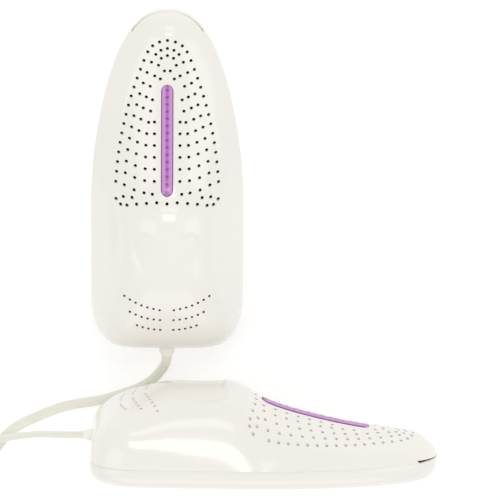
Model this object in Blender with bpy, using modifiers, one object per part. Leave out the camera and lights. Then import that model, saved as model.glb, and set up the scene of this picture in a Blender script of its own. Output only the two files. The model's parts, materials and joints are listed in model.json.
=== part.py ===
"""A pair of foot-shaped boot dryers, each with a heater and a violet lamp, on one flat mains lead.

Each dryer is modelled in its own frame: X runs from the heel (0) to the toe, Y across, Z up from the
sole. An empty then places it: the left dryer lies on its sole, the right one on its flank.
All sizes are in metres."""

import math

import bmesh
import bpy
import numpy as np
from mathutils import Matrix, Vector

GAP = 0.0003

# One dryer, outside.
LENGTH = 0.180
HALF_WIDTH = 0.0394
HEEL_FLAT_HALF = 0.023
HEEL_CORNER_LENGTH = 0.024
TOE_CURVE_START = 0.080
SEAM_HEIGHT = 0.0115
SOLE_CORNER_RADIUS = 0.008
TOE_CORNER_SHARE = 0.65
WALL = 0.002
MIDDLE = LENGTH / 2

# How boxy the crown's cross-section is, from the heel to the toe: 0 is a round arch.
BOXY_PLACES = (0.020, 0.030, 0.038, 0.050, 0.064, 0.080, 0.095)
BOXY_SHARES = (1.30, 1.08, 0.75, 0.48, 0.38, 0.22, 0.0)

# The ridge line of the crown, seen from the side: along, up.
RIDGE = (
    (0.0000, 0.0175), (0.0006, 0.0203), (0.0028, 0.0252), (0.0094, 0.0322), (0.0180, 0.0377),
    (0.0286, 0.0426), (0.0400, 0.0463), (0.0560, 0.0481), (0.0690, 0.0481), (0.0760, 0.0467),
    (0.0830, 0.0431), (0.0880, 0.0401), (0.0930, 0.0377), (0.1000, 0.0352), (0.1150, 0.0311),
    (0.1300, 0.0278), (0.1440, 0.0255), (0.1600, 0.0237), (0.1700, 0.0214), (0.1765, 0.0168),
    (0.1800, 0.0118),
)

# Thumb scoop on the heel: a ramp that ends in a step towards the toe.
SCOOP_REAR = 0.040
SCOOP_FRONT = 0.0685
SCOOP_HALF_WIDTH = 0.0165
SCOOP_DEPTH = 0.0022
SCOOP_STEP = 0.0016

# Light strip.
LIGHT_REAR = 0.0874
LIGHT_FRONT = 0.1443
LENS_HALF_WIDTH = 0.00315
LENS_PROUD = 0.0003
LENS_THICKNESS = 0.0028

# Lamp, its holders and its reflector lie along one slanted line.
LAMP_CENTRE = (0.1165, 0.0, 0.0231)
LAMP_SLOPE = math.radians(14.3)
LAMP_LENGTH = 0.050
LAMP_RADIUS = 0.002
REFLECTOR_RADIUS = 0.0055

# Toe slot on the parting line.
TOE_SLOT_START = 0.171
TOE_SLOT_HALF_WIDTH = 0.0174
TOE_SLOT_HEIGHT = 0.0014

# Cord outlet in the heel and its strain relief.
OUTLET_HEIGHT = 0.018
RELIEF_RADIUS = 0.0044
RELIEF_OUT = 0.0026
RELIEF_IN = 0.018

# Sole screws: along, across.
SCREW_PLACES = ((0.020, 0.027), (0.020, -0.027), (0.096, 0.031), (0.096, -0.031))
BOSS_RADIUS = 0.0036
SCREW_SHANK_RADIUS = 0.00145
SCREW_HEAD_RADIUS = 0.0028
SCREW_TOP = 0.0165

# Heater stack and board, by their levels above the sole.
CARRIER_LOW = 0.0102
CARRIER_HIGH = 0.0113
BOARD_LOW = 0.0063
BOARD_HIGH = 0.0079

# The pair on a table. The left dryer's centre line is X = 0 and the right dryer's sole is Y = 0 here;
# LAYOUT_CENTRE then moves everything so that the origin is under the middle of both dryers.
LAYOUT_CENTRE = Vector((0.04911, 0.11777, 0.0))
LEFT_HEEL_Y = 0.0586
LEFT_TURN = math.radians(89.8)
RIGHT_HEEL_X = -0.0398
RIGHT_TURN = math.radians(-1.0)

# Flat twin flex: width and thickness. Its plain tubes have the thickness as their diameter.
CORD_WIDTH = 0.0052
CORD_THICKNESS = 0.0032
CORD_LEVEL = 0.0018
TUBE_RADIUS = CORD_THICKNESS / 2

# Routes of the cord where it isn't coiled, in the table layout.
LEFT_BRANCH = (
    (0.0000, 0.0554, 0.0180), (-0.0001, 0.0532, 0.0178), (-0.0029, 0.0450, 0.0127),
    (-0.0075, 0.0381, 0.0070), (-0.0138, 0.0328, 0.0036), (-0.0216, 0.0292, 0.0021),
    (-0.0351, 0.0250, 0.0018), (-0.0523, 0.0219, 0.0018), (-0.0616, 0.0186, 0.0018),
    (-0.0710, 0.0145, 0.0018), (-0.0780, 0.0107, 0.0018), (-0.0835, 0.0062, 0.0018),
    (-0.0885, -0.0002, 0.0018), (-0.0955, -0.0085, 0.0018), (-0.1120, -0.0170, 0.0018),
    (-0.1350, -0.0190, 0.0018), (-0.1580, -0.0125, 0.0018), (-0.1740, -0.0010, 0.0022),
    (-0.1820, 0.0048, 0.0034), (-0.1880, 0.0064, 0.0038), (-0.1904, 0.0065, 0.0038),
)
RIGHT_BRANCH = (
    (-0.0427, 0.0180, 0.0394), (-0.0500, 0.0177, 0.0387), (-0.0590, 0.0166, 0.0345),
    (-0.0670, 0.0143, 0.0270), (-0.0740, 0.0113, 0.0195), (-0.0800, 0.0087, 0.0135),
    (-0.0866, 0.0059, 0.0085), (-0.0960, 0.0040, 0.0045), (-0.1050, 0.0085, 0.0020),
    (-0.1150, 0.0230, 0.0018), (-0.1280, 0.0440, 0.0019), (-0.1450, 0.0520, 0.0018),
    (-0.1620, 0.0470, 0.0018), (-0.1730, 0.0340, 0.0020), (-0.1805, 0.0224, 0.0034),
    (-0.1874, 0.0177, 0.0038), (-0.1904, 0.0175, 0.0038),
)
MAIN_ROUTE = (
    (-0.2154, 0.0120, 0.0038), (-0.2240, 0.0132, 0.0028), (-0.2350, 0.0205, 0.0018),
    (-0.2400, 0.0330, 0.0018), (-0.2360, 0.0490, 0.0018), (-0.2240, 0.0630, 0.0018),
    (-0.2070, 0.0740, 0.0022), (-0.1940, 0.0870, 0.0035), (-0.1880, 0.1000, 0.0046),
    (-0.1872, 0.1100, 0.0050),
)
PLUG_ROUTE = (
    (-0.1872, 0.1150, 0.0092), (-0.1880, 0.1220, 0.0086), (-0.1890, 0.1320, 0.0077),
    (-0.1890, 0.1420, 0.0072),
)
SPLITTER_PLACE = Vector((-0.2030, 0.0120, 0.0038))
SPLITTER_LENGTH = 0.024
SPLITTER_THICKNESS = 0.0068

# The coil: the middle of its turns, its section and its tie.
COIL_CENTRE = Vector((-0.150, 0.112, 0.0066))
COIL_RADIUS = 0.029
COIL_HALF_SECTION = 0.0054
TIE_THICKNESS = 0.0007
TIE_WIDTH = 0.010

# Flat two-pin plug.
PLUG_BACK = Vector((-0.189, 0.1423, 0.0072))
PLUG_NECK_LENGTH = 0.020
PLUG_BODY_LENGTH = 0.036
PLUG_HALF_WIDTH = 0.01765
PLUG_THICKNESS = 0.0137
PIN_RADIUS = 0.002
PIN_LENGTH = 0.019
PIN_SPACING = 0.0186

# Colour, roughness, metallic.
FINISHES = {
    "top_shell": ((0.88, 0.86, 0.82), 0.18, 0.0),
    "sole_shell": ((0.87, 0.85, 0.80), 0.20, 0.0),
    "light_lens": ((0.42, 0.14, 0.52), 0.12, 0.0),
    "uv_lamp": ((0.80, 0.74, 0.90), 0.05, 0.0),
    "lamp_holder": ((0.80, 0.79, 0.75), 0.45, 0.0),
    "reflector": ((0.85, 0.85, 0.86), 0.15, 1.0),
    "heater_carrier": ((0.23, 0.06, 0.04), 0.50, 0.0),
    "ptc_heater": ((0.45, 0.20, 0.06), 0.25, 0.0),
    "heat_sink": ((0.75, 0.76, 0.78), 0.35, 1.0),
    "thermal_fuse": ((0.70, 0.70, 0.70), 0.30, 1.0),
    "circuit_board": ((0.05, 0.22, 0.10), 0.40, 0.0),
    "film_capacitor": ((0.70, 0.30, 0.06), 0.35, 0.0),
    "filter_capacitor": ((0.05, 0.05, 0.07), 0.30, 0.0),
    "lamp_transformer": ((0.65, 0.55, 0.12), 0.45, 0.0),
    "cord_clamp": ((0.10, 0.10, 0.10), 0.50, 0.0),
    "strain_relief": ((0.84, 0.83, 0.77), 0.40, 0.0),
    "lead": ((0.75, 0.72, 0.66), 0.45, 0.0),
    "sole_screw": ((0.62, 0.62, 0.64), 0.30, 1.0),
    "cord": ((0.84, 0.84, 0.78), 0.45, 0.0),
    "coil_tie": ((0.80, 0.80, 0.78), 0.60, 0.0),
    "plug_body": ((0.84, 0.83, 0.78), 0.40, 0.0),
    "plug_pin": ((0.80, 0.72, 0.50), 0.25, 1.0),
}


# The scene, its collections and materials.

def clear_scene():
    for obj in list(bpy.data.objects):
        bpy.data.objects.remove(obj, do_unlink=True)


def new_collection(name):
    collection = bpy.data.collections.new(name)
    bpy.context.scene.collection.children.link(collection)
    return collection


def material_for(finish):
    material = bpy.data.materials.get(finish)
    if material is None:
        colour, roughness, metallic = FINISHES[finish]
        material = bpy.data.materials.new(finish)
        material.use_nodes = True
        shader = material.node_tree.nodes["Principled BSDF"]
        shader.inputs["Base Color"].default_value = (*colour, 1.0)
        shader.inputs["Roughness"].default_value = roughness
        shader.inputs["Metallic"].default_value = metallic
        material.diffuse_color = (*colour, 1.0)
    return material


def add_part(name, data, finish, parent=None):
    """A piece of the object. It rides on the dryer that it is parented to."""
    part = bpy.data.objects.new(name, data)
    part.parent = parent
    data.materials.append(material_for(finish))
    PARTS.objects.link(part)
    return part


def add_cutter(name, data, parent=None):
    cutter = bpy.data.objects.new(name, data)
    cutter.parent = parent
    cutter.hide_render = True
    cutter.display_type = "WIRE"
    CUTTERS.objects.link(cutter)
    return cutter


def combine(part, tool, operation="DIFFERENCE"):
    boolean = part.modifiers.new(tool.name, "BOOLEAN")
    boolean.operation = operation
    boolean.object = tool


def soften(part, width, segments=2):
    bevel = part.modifiers.new("soft edges", "BEVEL")
    bevel.width = width
    bevel.segments = segments
    bevel.limit_method = "ANGLE"


# Shapes.

def mesh_from(name, shape):
    bmesh.ops.recalc_face_normals(shape, faces=shape.faces)
    data = bpy.data.meshes.new(name)
    shape.to_mesh(data)
    shape.free()
    data.shade_smooth()
    data.set_sharp_from_angle(angle=math.radians(35))
    return data


def box(name, low, high):
    shape = bmesh.new()
    bmesh.ops.create_cube(shape, size=1.0)
    middle = (Vector(low) + Vector(high)) / 2
    sides = Vector(high) - Vector(low)
    bmesh.ops.transform(shape, matrix=Matrix.LocRotScale(middle, None, sides), verts=shape.verts)
    return mesh_from(name, shape)


def rod(name, centre, radius, length, turn=Matrix.Identity(3), sides=16):
    """A cylinder about Z, then turned and moved to its centre."""
    shape = bmesh.new()
    bmesh.ops.create_cone(
        shape, cap_ends=True, segments=sides, radius1=radius, radius2=radius, depth=length
    )
    matrix = Matrix.Translation(centre) @ turn.to_4x4()
    bmesh.ops.transform(shape, matrix=matrix, verts=shape.verts)
    return mesh_from(name, shape)


def loft(name, rows, closed):
    """Skins rows of points; what stays open is capped. Points that meet become one."""
    shape = bmesh.new()
    grid = [[shape.verts.new(point) for point in row] for row in rows]
    count = len(rows[0])
    for lower, upper in zip(grid, grid[1:]):
        for i in range(count if closed else count - 1):
            j = (i + 1) % count
            shape.faces.new((lower[i], lower[j], upper[j], upper[i]))
    bmesh.ops.remove_doubles(shape, verts=shape.verts, dist=1e-6)
    bmesh.ops.holes_fill(shape, edges=[edge for edge in shape.edges if edge.is_boundary])
    return mesh_from(name, shape)


def slab(name, outline, low, high):
    """A flat outline in X and Y, drawn up from one level to another."""
    rows = [[(x, y, level) for x, y in outline] for level in (low, high)]
    return loft(name, rows, closed=True)


def turned(name, profile, steps, finish, matrix, parent=None):
    """A profile of radius and height, turned about Z by a Screw."""
    shape = bmesh.new()
    corners = [shape.verts.new((radius, 0, height)) for radius, height in profile]
    for first, second in zip(corners, corners[1:]):
        shape.edges.new((first, second))
    if profile[0] == profile[-1]:
        bmesh.ops.remove_doubles(shape, verts=shape.verts, dist=1e-7)
    data = bpy.data.meshes.new(name)
    shape.to_mesh(data)
    shape.free()
    part = add_part(name, data, finish, parent)
    part.matrix_basis = matrix
    screw = part.modifiers.new("turn", "SCREW")
    screw.steps = steps
    screw.render_steps = steps
    screw.use_merge_vertices = True
    screw.merge_threshold = 1e-6
    return part


def smooth_curve(points, count):
    """Points at even steps along the natural cubic spline through the given points."""
    knots = np.array(points, float)
    reach = np.linalg.norm(np.diff(knots, axis=0), axis=1)
    places = np.concatenate([[0.0], np.cumsum(reach)])
    size = len(knots)
    matrix = np.eye(size)
    target = np.zeros_like(knots)
    for i in range(1, size - 1):
        before, after = reach[i - 1], reach[i]
        matrix[i, i - 1 : i + 2] = before, 2 * (before + after), after
        target[i] = 6 * ((knots[i + 1] - knots[i]) / after - (knots[i] - knots[i - 1]) / before)
    bend = np.linalg.solve(matrix, target)
    result = []
    for place in np.linspace(0, places[-1], count):
        i = min(np.searchsorted(places, place, side="right") - 1, size - 2)
        step = reach[i]
        a, b = (places[i + 1] - place) / step, (place - places[i]) / step
        straight = a * knots[i] + b * knots[i + 1]
        result.append(straight + ((a**3 - a) * bend[i] + (b**3 - b) * bend[i + 1]) * step**2 / 6)
    return np.array(result)


def wire(name, points, radius, finish, parent=None):
    """A round tube with closed ends along a line of points."""
    data = bpy.data.curves.new(name, "CURVE")
    data.dimensions = "3D"
    data.bevel_depth = radius
    data.bevel_resolution = 2
    data.use_fill_caps = True
    line = data.splines.new("POLY")
    line.points.add(len(points) - 1)
    for point, place in zip(line.points, points):
        point.co = (*place, 1.0)
    return add_part(name, data, finish, parent)


# The dryer's outer form.

RIDGE_LINE = smooth_curve(RIDGE, 600)


def ridge_height(along):
    return float(np.interp(along, np.maximum.accumulate(RIDGE_LINE[:, 0]), RIDGE_LINE[:, 1]))


def half_width(along):
    """Half the width of the outline: a rounded heel corner, parallel sides, and a long toe curve."""
    if along < HEEL_CORNER_LENGTH:
        left = 1 - along / HEEL_CORNER_LENGTH
        growth = (1 - left**2) ** (1 / 2.3)
        return HEEL_FLAT_HALF + (HALF_WIDTH - HEEL_FLAT_HALF) * growth
    if along < TOE_CURVE_START:
        return HALF_WIDTH
    share = min((along - TOE_CURVE_START) / (LENGTH - TOE_CURVE_START), 1.0)
    return HALF_WIDTH * (1 - share**1.62) ** 0.4


def ease(value, low, high):
    share = min(max((value - low) / (high - low), 0.0), 1.0)
    return share * share * (3 - 2 * share)


def arch(along, across):
    """Height share of the crown at a share of its half width: boxy at the heel, an arch at the toe."""
    boxy = float(np.interp(along, BOXY_PLACES, BOXY_SHARES))
    square = 1 - ease(along, 0.0, 0.030)
    share = max(1 - abs(across) ** (2 + 0.6 * boxy + 2.5 * square), 0.0)
    return share ** (1.07 - 0.32 * boxy)


def scoop(along, sideways):
    ramp = ease(along, SCOOP_REAR, SCOOP_FRONT - SCOOP_STEP)
    step = 1 - ease(along, SCOOP_FRONT - SCOOP_STEP, SCOOP_FRONT)
    side = 1 - ease(abs(sideways), SCOOP_HALF_WIDTH - 0.003, SCOOP_HALF_WIDTH + 0.001)
    return SCOOP_DEPTH * ramp * step * side


def drawn_in(value, wall):
    """A width or height less the wall, which never reaches zero before the width does."""
    return value * value / (value + wall) if value > 0 else 0.0


def stations(count):
    """Places from heel to toe, closer together at both ends."""
    return [LENGTH * (1 - math.cos(math.pi * i / count)) / 2 for i in range(count + 1)]


def crown_point(along, across, rise, wall, rim):
    x = MIDDLE + (along - MIDDLE) * (MIDDLE - wall) / MIDDLE
    y = drawn_in(half_width(along), 1.25 * wall) * across
    z = rim + drawn_in(rise, wall) * arch(along, across)
    return (x, y, z - scoop(along, y) if rise > 0 else z)


def crown_body(name, wall, rim, lengthwise, crosswise):
    """The closed body between the rim level and the crown, drawn in by the wall."""
    places = sorted(stations(lengthwise) + [SCOOP_FRONT - SCOOP_STEP, SCOOP_FRONT])
    shares = [math.sin(math.pi / 2 * j / crosswise) for j in range(-crosswise, crosswise + 1)]
    rows = [[crown_point(0.0, share, 0.0, wall, rim) for share in shares]]
    for along in places:
        rise = ridge_height(along) - rim
        rows.append([crown_point(along, share, rise, wall, rim) for share in shares])
    return loft(name, rows, closed=False)


def outline(inset, count):
    """The dryer's outline from above, scaled in by the inset, once round."""
    right = []
    for along in stations(count):
        reach = inset if along < MIDDLE else TOE_CORNER_SHARE * inset
        x = MIDDLE + (along - MIDDLE) * (MIDDLE - reach) / MIDDLE
        right.append((x, half_width(along) * (HALF_WIDTH - inset) / HALF_WIDTH))
    left = [(x, -y) for x, y in reversed(right[:-1])]
    return right + left


def tray_body(name, wall, top, count):
    """The closed body between the sole and the parting plane, drawn in by the wall."""
    rows = []
    for step in range(4):
        angle = math.pi / 2 * step / 3
        inset = wall + (SOLE_CORNER_RADIUS - wall) * (1 - math.sin(angle))
        level = wall + (SOLE_CORNER_RADIUS - wall) * (1 - math.cos(angle))
        rows.append([(x, y, level) for x, y in outline(inset, count)])
    rows.append([(x, y, top) for x, y in outline(wall, count)])
    return loft(name, rows, closed=True)


def stadium(start, end, radius, steps=6):
    """A straight slot's outline with round ends, once round."""
    points = []
    for middle, turn in ((end - radius, -math.pi / 2), (start + radius, math.pi / 2)):
        for i in range(steps + 1):
            angle = turn + math.pi * i / steps
            points.append((middle + radius * math.cos(angle), radius * math.sin(angle)))
    return points


# The dryer's pieces.

LENGTHWISE = Matrix.Rotation(math.pi / 2, 3, "Y")
SLANTED = Matrix.Rotation(LAMP_SLOPE, 3, "Y") @ LENGTHWISE


def boss_rods(side, cavity, parent, kind, low, high):
    """Takes the screw bosses out of a cavity, so that they stay standing in the shell."""
    for number, (x, y) in enumerate(SCREW_PLACES, 1):
        data = rod(kind, (x, y, (low + high) / 2), BOSS_RADIUS, high - low)
        combine(cavity, add_cutter(f"{kind}_{number}_{side}", data, parent))


def screw_drills(part, side, parent, kind, radius, low, high):
    for number, (x, y) in enumerate(SCREW_PLACES, 1):
        data = rod(kind, (x, y, (low + high) / 2), radius, high - low)
        combine(part, add_cutter(f"{kind}_{number}_{side}", data, parent))


def toe_slot_cutter(side, parent):
    low = (TOE_SLOT_START, -TOE_SLOT_HALF_WIDTH, SEAM_HEIGHT - TOE_SLOT_HEIGHT / 2)
    high = (LENGTH + 0.005, TOE_SLOT_HALF_WIDTH, SEAM_HEIGHT + TOE_SLOT_HEIGHT / 2)
    return add_cutter(f"toe_slot_{side}", box("toe_slot", low, high), parent)


def add_top_shell(side, parent, toe_slot):
    rim = SEAM_HEIGHT + GAP / 2
    shell = add_part(f"top_shell_{side}", crown_body("top_shell", 0.0, rim, 22, 7), "top_shell", parent)
    inside = crown_body("top_cavity", WALL, SEAM_HEIGHT - WALL, 16, 5)
    cavity = add_cutter(f"top_cavity_{side}", inside, parent)
    boss_rods(side, cavity, parent, "top_boss", 0.0, 0.06)
    combine(shell, cavity)
    screw_drills(shell, side, parent, "top_drill", SCREW_SHANK_RADIUS + GAP, 0.0, SCREW_TOP + GAP)
    light = stadium(LIGHT_REAR - GAP, LIGHT_FRONT + GAP, LENS_HALF_WIDTH + GAP)
    combine(shell, add_cutter(f"light_slot_{side}", slab("light_slot", light, 0.015, 0.06), parent))
    hole = rod("outlet", (0.0, 0.0, OUTLET_HEIGHT), RELIEF_RADIUS + GAP, 0.024, LENGTHWISE)
    combine(shell, add_cutter(f"outlet_{side}", hole, parent))
    combine(shell, toe_slot)


def add_sole_shell(side, parent, toe_slot):
    tray = tray_body("sole_shell", 0.0, SEAM_HEIGHT - GAP / 2, 22)
    shell = add_part(f"sole_shell_{side}", tray, "sole_shell", parent)
    cavity = add_cutter(f"tray_cavity_{side}", tray_body("tray_cavity", WALL, 0.014, 14), parent)
    boss_rods(side, cavity, parent, "tray_boss", -0.002, 0.02)
    combine(shell, cavity)
    screw_drills(shell, side, parent, "tray_drill", SCREW_SHANK_RADIUS + GAP, -0.002, 0.02)
    screw_drills(shell, side, parent, "head_recess", SCREW_HEAD_RADIUS + GAP, -0.002, 0.0026)
    combine(shell, toe_slot)


def add_sole_screws(side, parent):
    head_low, head_high = 0.0006, 0.0023
    profile = (
        (0.0, SCREW_TOP), (SCREW_SHANK_RADIUS * 0.6, SCREW_TOP), (SCREW_SHANK_RADIUS, SCREW_TOP - 0.0012),
        (SCREW_SHANK_RADIUS, head_high), (SCREW_HEAD_RADIUS, head_high),
        (SCREW_HEAD_RADIUS, head_low + 0.0004), (SCREW_HEAD_RADIUS * 0.8, head_low), (0.0, head_low),
    )
    for number, (x, y) in enumerate(SCREW_PLACES, 1):
        place = Matrix.Translation((x, y, 0.0))
        name = f"sole_screw_{number}_{side}"
        screw = turned(name, profile, 12, "sole_screw", place, parent)
        for turn, reach in ((0, (0.0016, 0.00035)), (1, (0.00035, 0.0016))):
            low = (x - reach[0], y - reach[1], head_low - 0.001)
            high = (x + reach[0], y + reach[1], head_low + 0.0009)
            combine(screw, add_cutter(f"cross_{turn}_{number}_{side}", box("cross", low, high), parent))


def add_light_lens(side, parent):
    """A strip that follows the ridge, a little proud of it, with a crowned top and round ends."""
    rows = []
    half_length = (LIGHT_FRONT - LIGHT_REAR) / 2
    middle = (LIGHT_FRONT + LIGHT_REAR) / 2
    for i in range(25):
        reach = -math.cos(math.pi * i / 24)
        x = middle + half_length * reach
        from_end = min(half_length * (1 - abs(reach)), LENS_HALF_WIDTH)
        half = math.sqrt(max(LENS_HALF_WIDTH**2 - (LENS_HALF_WIDTH - from_end) ** 2, 0.0))
        top = ridge_height(x) - 0.0002
        crown = top + LENS_PROUD + 0.0002
        low = top - LENS_THICKNESS
        rows.append([(x, -half, low), (x, half, low), (x, half, top), (x, 0.0, crown), (x, -half, top)])
    add_part(f"light_lens_{side}", loft("light_lens", rows, closed=True), "light_lens", parent)


def along_lamp(offset, below=0.0):
    """A point on the lamp's axis, at an offset from its centre towards the toe."""
    direction = SLANTED @ Vector((0, 0, 1))
    return Vector(LAMP_CENTRE) + direction * offset + Vector((0, 0, -below))


def add_lamp(side, parent):
    end = LAMP_LENGTH / 2
    profile = [(0.0, end)]
    for degrees in (30, 60, 90):
        angle = math.radians(degrees)
        profile.append((LAMP_RADIUS * math.sin(angle), end - LAMP_RADIUS * (1 - math.cos(angle))))
    profile += [(radius, -height) for radius, height in reversed(profile)]
    matrix = Matrix.Translation(LAMP_CENTRE) @ SLANTED.to_4x4()
    turned(f"uv_lamp_{side}", profile, 12, "uv_lamp", matrix, parent)

    sockets = (("rear", -0.0265, 0.0050, 0.0032), ("front", 0.0265, 0.0045, 0.0034))
    for where, offset, half_wide, above in sockets:
        place = along_lamp(offset)
        low = (place.x - 0.0025, -half_wide, CARRIER_HIGH + GAP)
        high = (place.x + 0.0025, half_wide, place.z + above)
        holder = add_part(f"lamp_holder_{where}_{side}", box("lamp_holder", low, high), "lamp_holder", parent)
        soften(holder, 0.0006)
        socket = rod("socket", LAMP_CENTRE, LAMP_RADIUS + GAP, LAMP_LENGTH + 2 * GAP, SLANTED)
        combine(holder, add_cutter(f"socket_{where}_{side}", socket, parent))

    inner = REFLECTOR_RADIUS - 0.0006
    rows = []
    for offset in (-0.0215, 0.0215):
        row = []
        for radius, angles in ((REFLECTOR_RADIUS, range(180, 361, 20)), (inner, range(360, 179, -20))):
            for degrees in angles:
                angle = math.radians(degrees)
                spot = Vector((-radius * math.sin(angle), radius * math.cos(angle), offset))
                row.append(Vector(LAMP_CENTRE) + SLANTED @ spot)
        rows.append(row)
    trough = loft("reflector", rows, closed=True)
    add_part(f"reflector_{side}", trough, "reflector", parent)


def add_heater(side, parent):
    """A laminate board at the parting plane carries the heater, with its heat sink below."""
    edge = [(x, y) for x, y in outline(0.0048, 20) if x > 0.076]
    board = slab("heater_carrier", edge, CARRIER_LOW, CARRIER_HIGH)
    carrier = add_part(f"heater_carrier_{side}", board, "heater_carrier", parent)
    for number, (x, y) in enumerate(SCREW_PLACES[2:], 1):
        clear = rod("boss_clearance", (x, y, CARRIER_LOW), BOSS_RADIUS + 0.0006, 0.01)
        combine(carrier, add_cutter(f"boss_clearance_{number}_{side}", clear, parent))
        outer = (x, 1.2 * y + math.copysign(0.004, y))
        low = (x - BOSS_RADIUS - 0.0006, min(y, outer[1]), 0.0)
        high = (x + BOSS_RADIUS + 0.0006, max(y, outer[1]), 0.02)
        combine(carrier, add_cutter(f"edge_clearance_{number}_{side}", box("edge_clearance", low, high), parent))
    for number, y in enumerate((0.0165, -0.0165), 1):
        opening = [(x, y + across) for x, across in stadium(0.094, 0.140, 0.0028, 4)]
        data = slab("air_opening", opening, 0.0, 0.02)
        combine(carrier, add_cutter(f"air_opening_{number}_{side}", data, parent))

    low, high = (0.092, -0.0105, 0.0072), (0.140, 0.0105, CARRIER_LOW - GAP)
    heater = add_part(f"ptc_heater_{side}", box("ptc_heater", low, high), "ptc_heater", parent)
    soften(heater, 0.0006)

    comb = [(-0.0135, 0.0069), (-0.0135, 0.0030)]
    fins = 7
    pitch = 0.027 / (fins - 0.5)
    for fin in range(fins - 1):
        root = -0.0135 + pitch * fin + pitch / 2
        comb += [(root, 0.0030), (root, 0.0055), (root + pitch / 2, 0.0055), (root + pitch / 2, 0.0030)]
    comb += [(0.0135, 0.0030), (0.0135, 0.0069)]
    rows = [[(x, y, z) for y, z in comb] for x in (0.088, 0.144)]
    add_part(f"heat_sink_{side}", loft("heat_sink", rows, closed=True), "heat_sink", parent)

    fuse = rod("thermal_fuse", (0.090, 0.0125, CARRIER_HIGH + GAP + 0.002), 0.002, 0.011, LENGTHWISE, 12)
    add_part(f"thermal_fuse_{side}", fuse, "thermal_fuse", parent)


def add_electronics(side, parent):
    board = add_part(
        f"circuit_board_{side}",
        box("circuit_board", (0.014, -0.020, BOARD_LOW), (0.066, 0.020, BOARD_HIGH)),
        "circuit_board", parent,
    )
    soften(board, 0.0004, 1)
    level = BOARD_HIGH + GAP
    blocks = (
        ("film_capacitor", (0.020, -0.0140, level), (0.038, -0.0070, level + 0.011)),
        ("lamp_transformer", (0.042, -0.0080, level), (0.057, 0.0060, level + 0.012)),
    )
    for name, low, high in blocks:
        block = add_part(f"{name}_{side}", box(name, low, high), name, parent)
        soften(block, 0.0008)
    can = rod("filter_capacitor", (0.030, 0.006, level + 0.0065), 0.004, 0.013, sides=20)
    can_part = add_part(f"filter_capacitor_{side}", can, "filter_capacitor", parent)
    soften(can_part, 0.0005, 1)


def add_leads(side, parent):
    """Insulated leads from the board to the heater's terminals and to the lamp's two holders."""
    level = BOARD_HIGH + GAP
    top = CARRIER_HIGH + GAP
    rear_socket = along_lamp(-0.0265)
    front_socket = along_lamp(0.0265)
    routes = {
        "heater_lead_live": (
            (0.060, -0.014, level), (0.061, -0.014, level + 0.006), (0.072, -0.013, 0.0185),
            (0.083, -0.011, 0.0165), (0.086, -0.010, top),
        ),
        "heater_lead_return": (
            (0.060, 0.014, level), (0.061, 0.014, level + 0.006), (0.071, 0.011, 0.0185),
            (0.079, 0.008, 0.0165), (0.081, 0.006, top),
        ),
        "lamp_lead_rear": (
            (0.062, 0.003, level), (0.064, 0.003, 0.018), (0.074, 0.002, 0.028),
            (rear_socket.x - 0.0025 - GAP, 0.0, rear_socket.z),
        ),
        "lamp_lead_front": (
            (0.062, -0.004, level), (0.065, -0.006, 0.017), (0.080, -0.0095, 0.0215),
            (0.105, -0.0095, 0.0175), (0.130, -0.0095, 0.0150), (0.1405, -0.0070, 0.0145),
            (front_socket.x, -0.0050, 0.0145),
        ),
    }
    for name, route in routes.items():
        wire(f"{name}_{side}", smooth_curve(route, 2 * len(route)), 0.0007, "lead", parent)


def add_cord_outlet(side, parent):
    """A tapered relief through the heel wall, with a groove that a clamp plate holds."""
    groove, flange, neck = 0.0034, 0.0054, CORD_WIDTH / 2 + 0.0002
    profile = (
        (0.0, RELIEF_IN), (0.0030, RELIEF_IN), (RELIEF_RADIUS, 0.0115), (RELIEF_RADIUS, 0.0100),
        (groove, 0.0100), (groove, 0.0070), (flange, 0.0070), (flange, 0.0052),
        (RELIEF_RADIUS, 0.0052), (RELIEF_RADIUS, 0.0), (neck, -RELIEF_OUT), (0.0, -RELIEF_OUT),
    )
    matrix = Matrix.Translation((0, 0, OUTLET_HEIGHT)) @ LENGTHWISE.to_4x4()
    turned(f"strain_relief_{side}", profile, 20, "strain_relief", matrix, parent)
    low, high = (0.0073, -0.009, WALL + GAP), (0.0097, 0.009, OUTLET_HEIGHT + 0.006)
    clamp = add_part(f"cord_clamp_{side}", box("cord_clamp", low, high), "cord_clamp", parent)
    seat = rod("clamp_seat", (0.0085, 0.0, OUTLET_HEIGHT), groove + GAP, 0.006, LENGTHWISE)
    combine(clamp, add_cutter(f"clamp_seat_{side}", seat, parent))
    low = (0.005, -groove - GAP, OUTLET_HEIGHT)
    high = (0.012, groove + GAP, OUTLET_HEIGHT + 0.01)
    combine(clamp, add_cutter(f"clamp_mouth_{side}", box("clamp_mouth", low, high), parent))


def add_dryer(side, placement):
    base = bpy.data.objects.new(f"dryer_{side}", None)
    base.matrix_world = Matrix.Translation(-LAYOUT_CENTRE) @ placement
    PARTS.objects.link(base)
    toe_slot = toe_slot_cutter(side, base)
    add_top_shell(side, base, toe_slot)
    add_sole_shell(side, base, toe_slot)
    add_sole_screws(side, base)
    add_light_lens(side, base)
    add_lamp(side, base)
    add_heater(side, base)
    add_electronics(side, base)
    add_leads(side, base)
    add_cord_outlet(side, base)


# The lead.

def cord_path(route, count):
    """Points along a cord's route, none of them low enough for the cord to sink into the table."""
    points = smooth_curve([Vector(point) - LAYOUT_CENTRE for point in route], count)
    points[:, 2] = np.maximum(points[:, 2], CORD_LEVEL)
    return points


def add_cords():
    for name, route, count in (
        ("branch_cord_left", LEFT_BRANCH, 26), ("branch_cord_right", RIGHT_BRANCH, 24),
        ("main_cord", MAIN_ROUTE, 13), ("plug_cord", PLUG_ROUTE, 5),
    ):
        wire(name, cord_path(route, count), TUBE_RADIUS, "cord")


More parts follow.
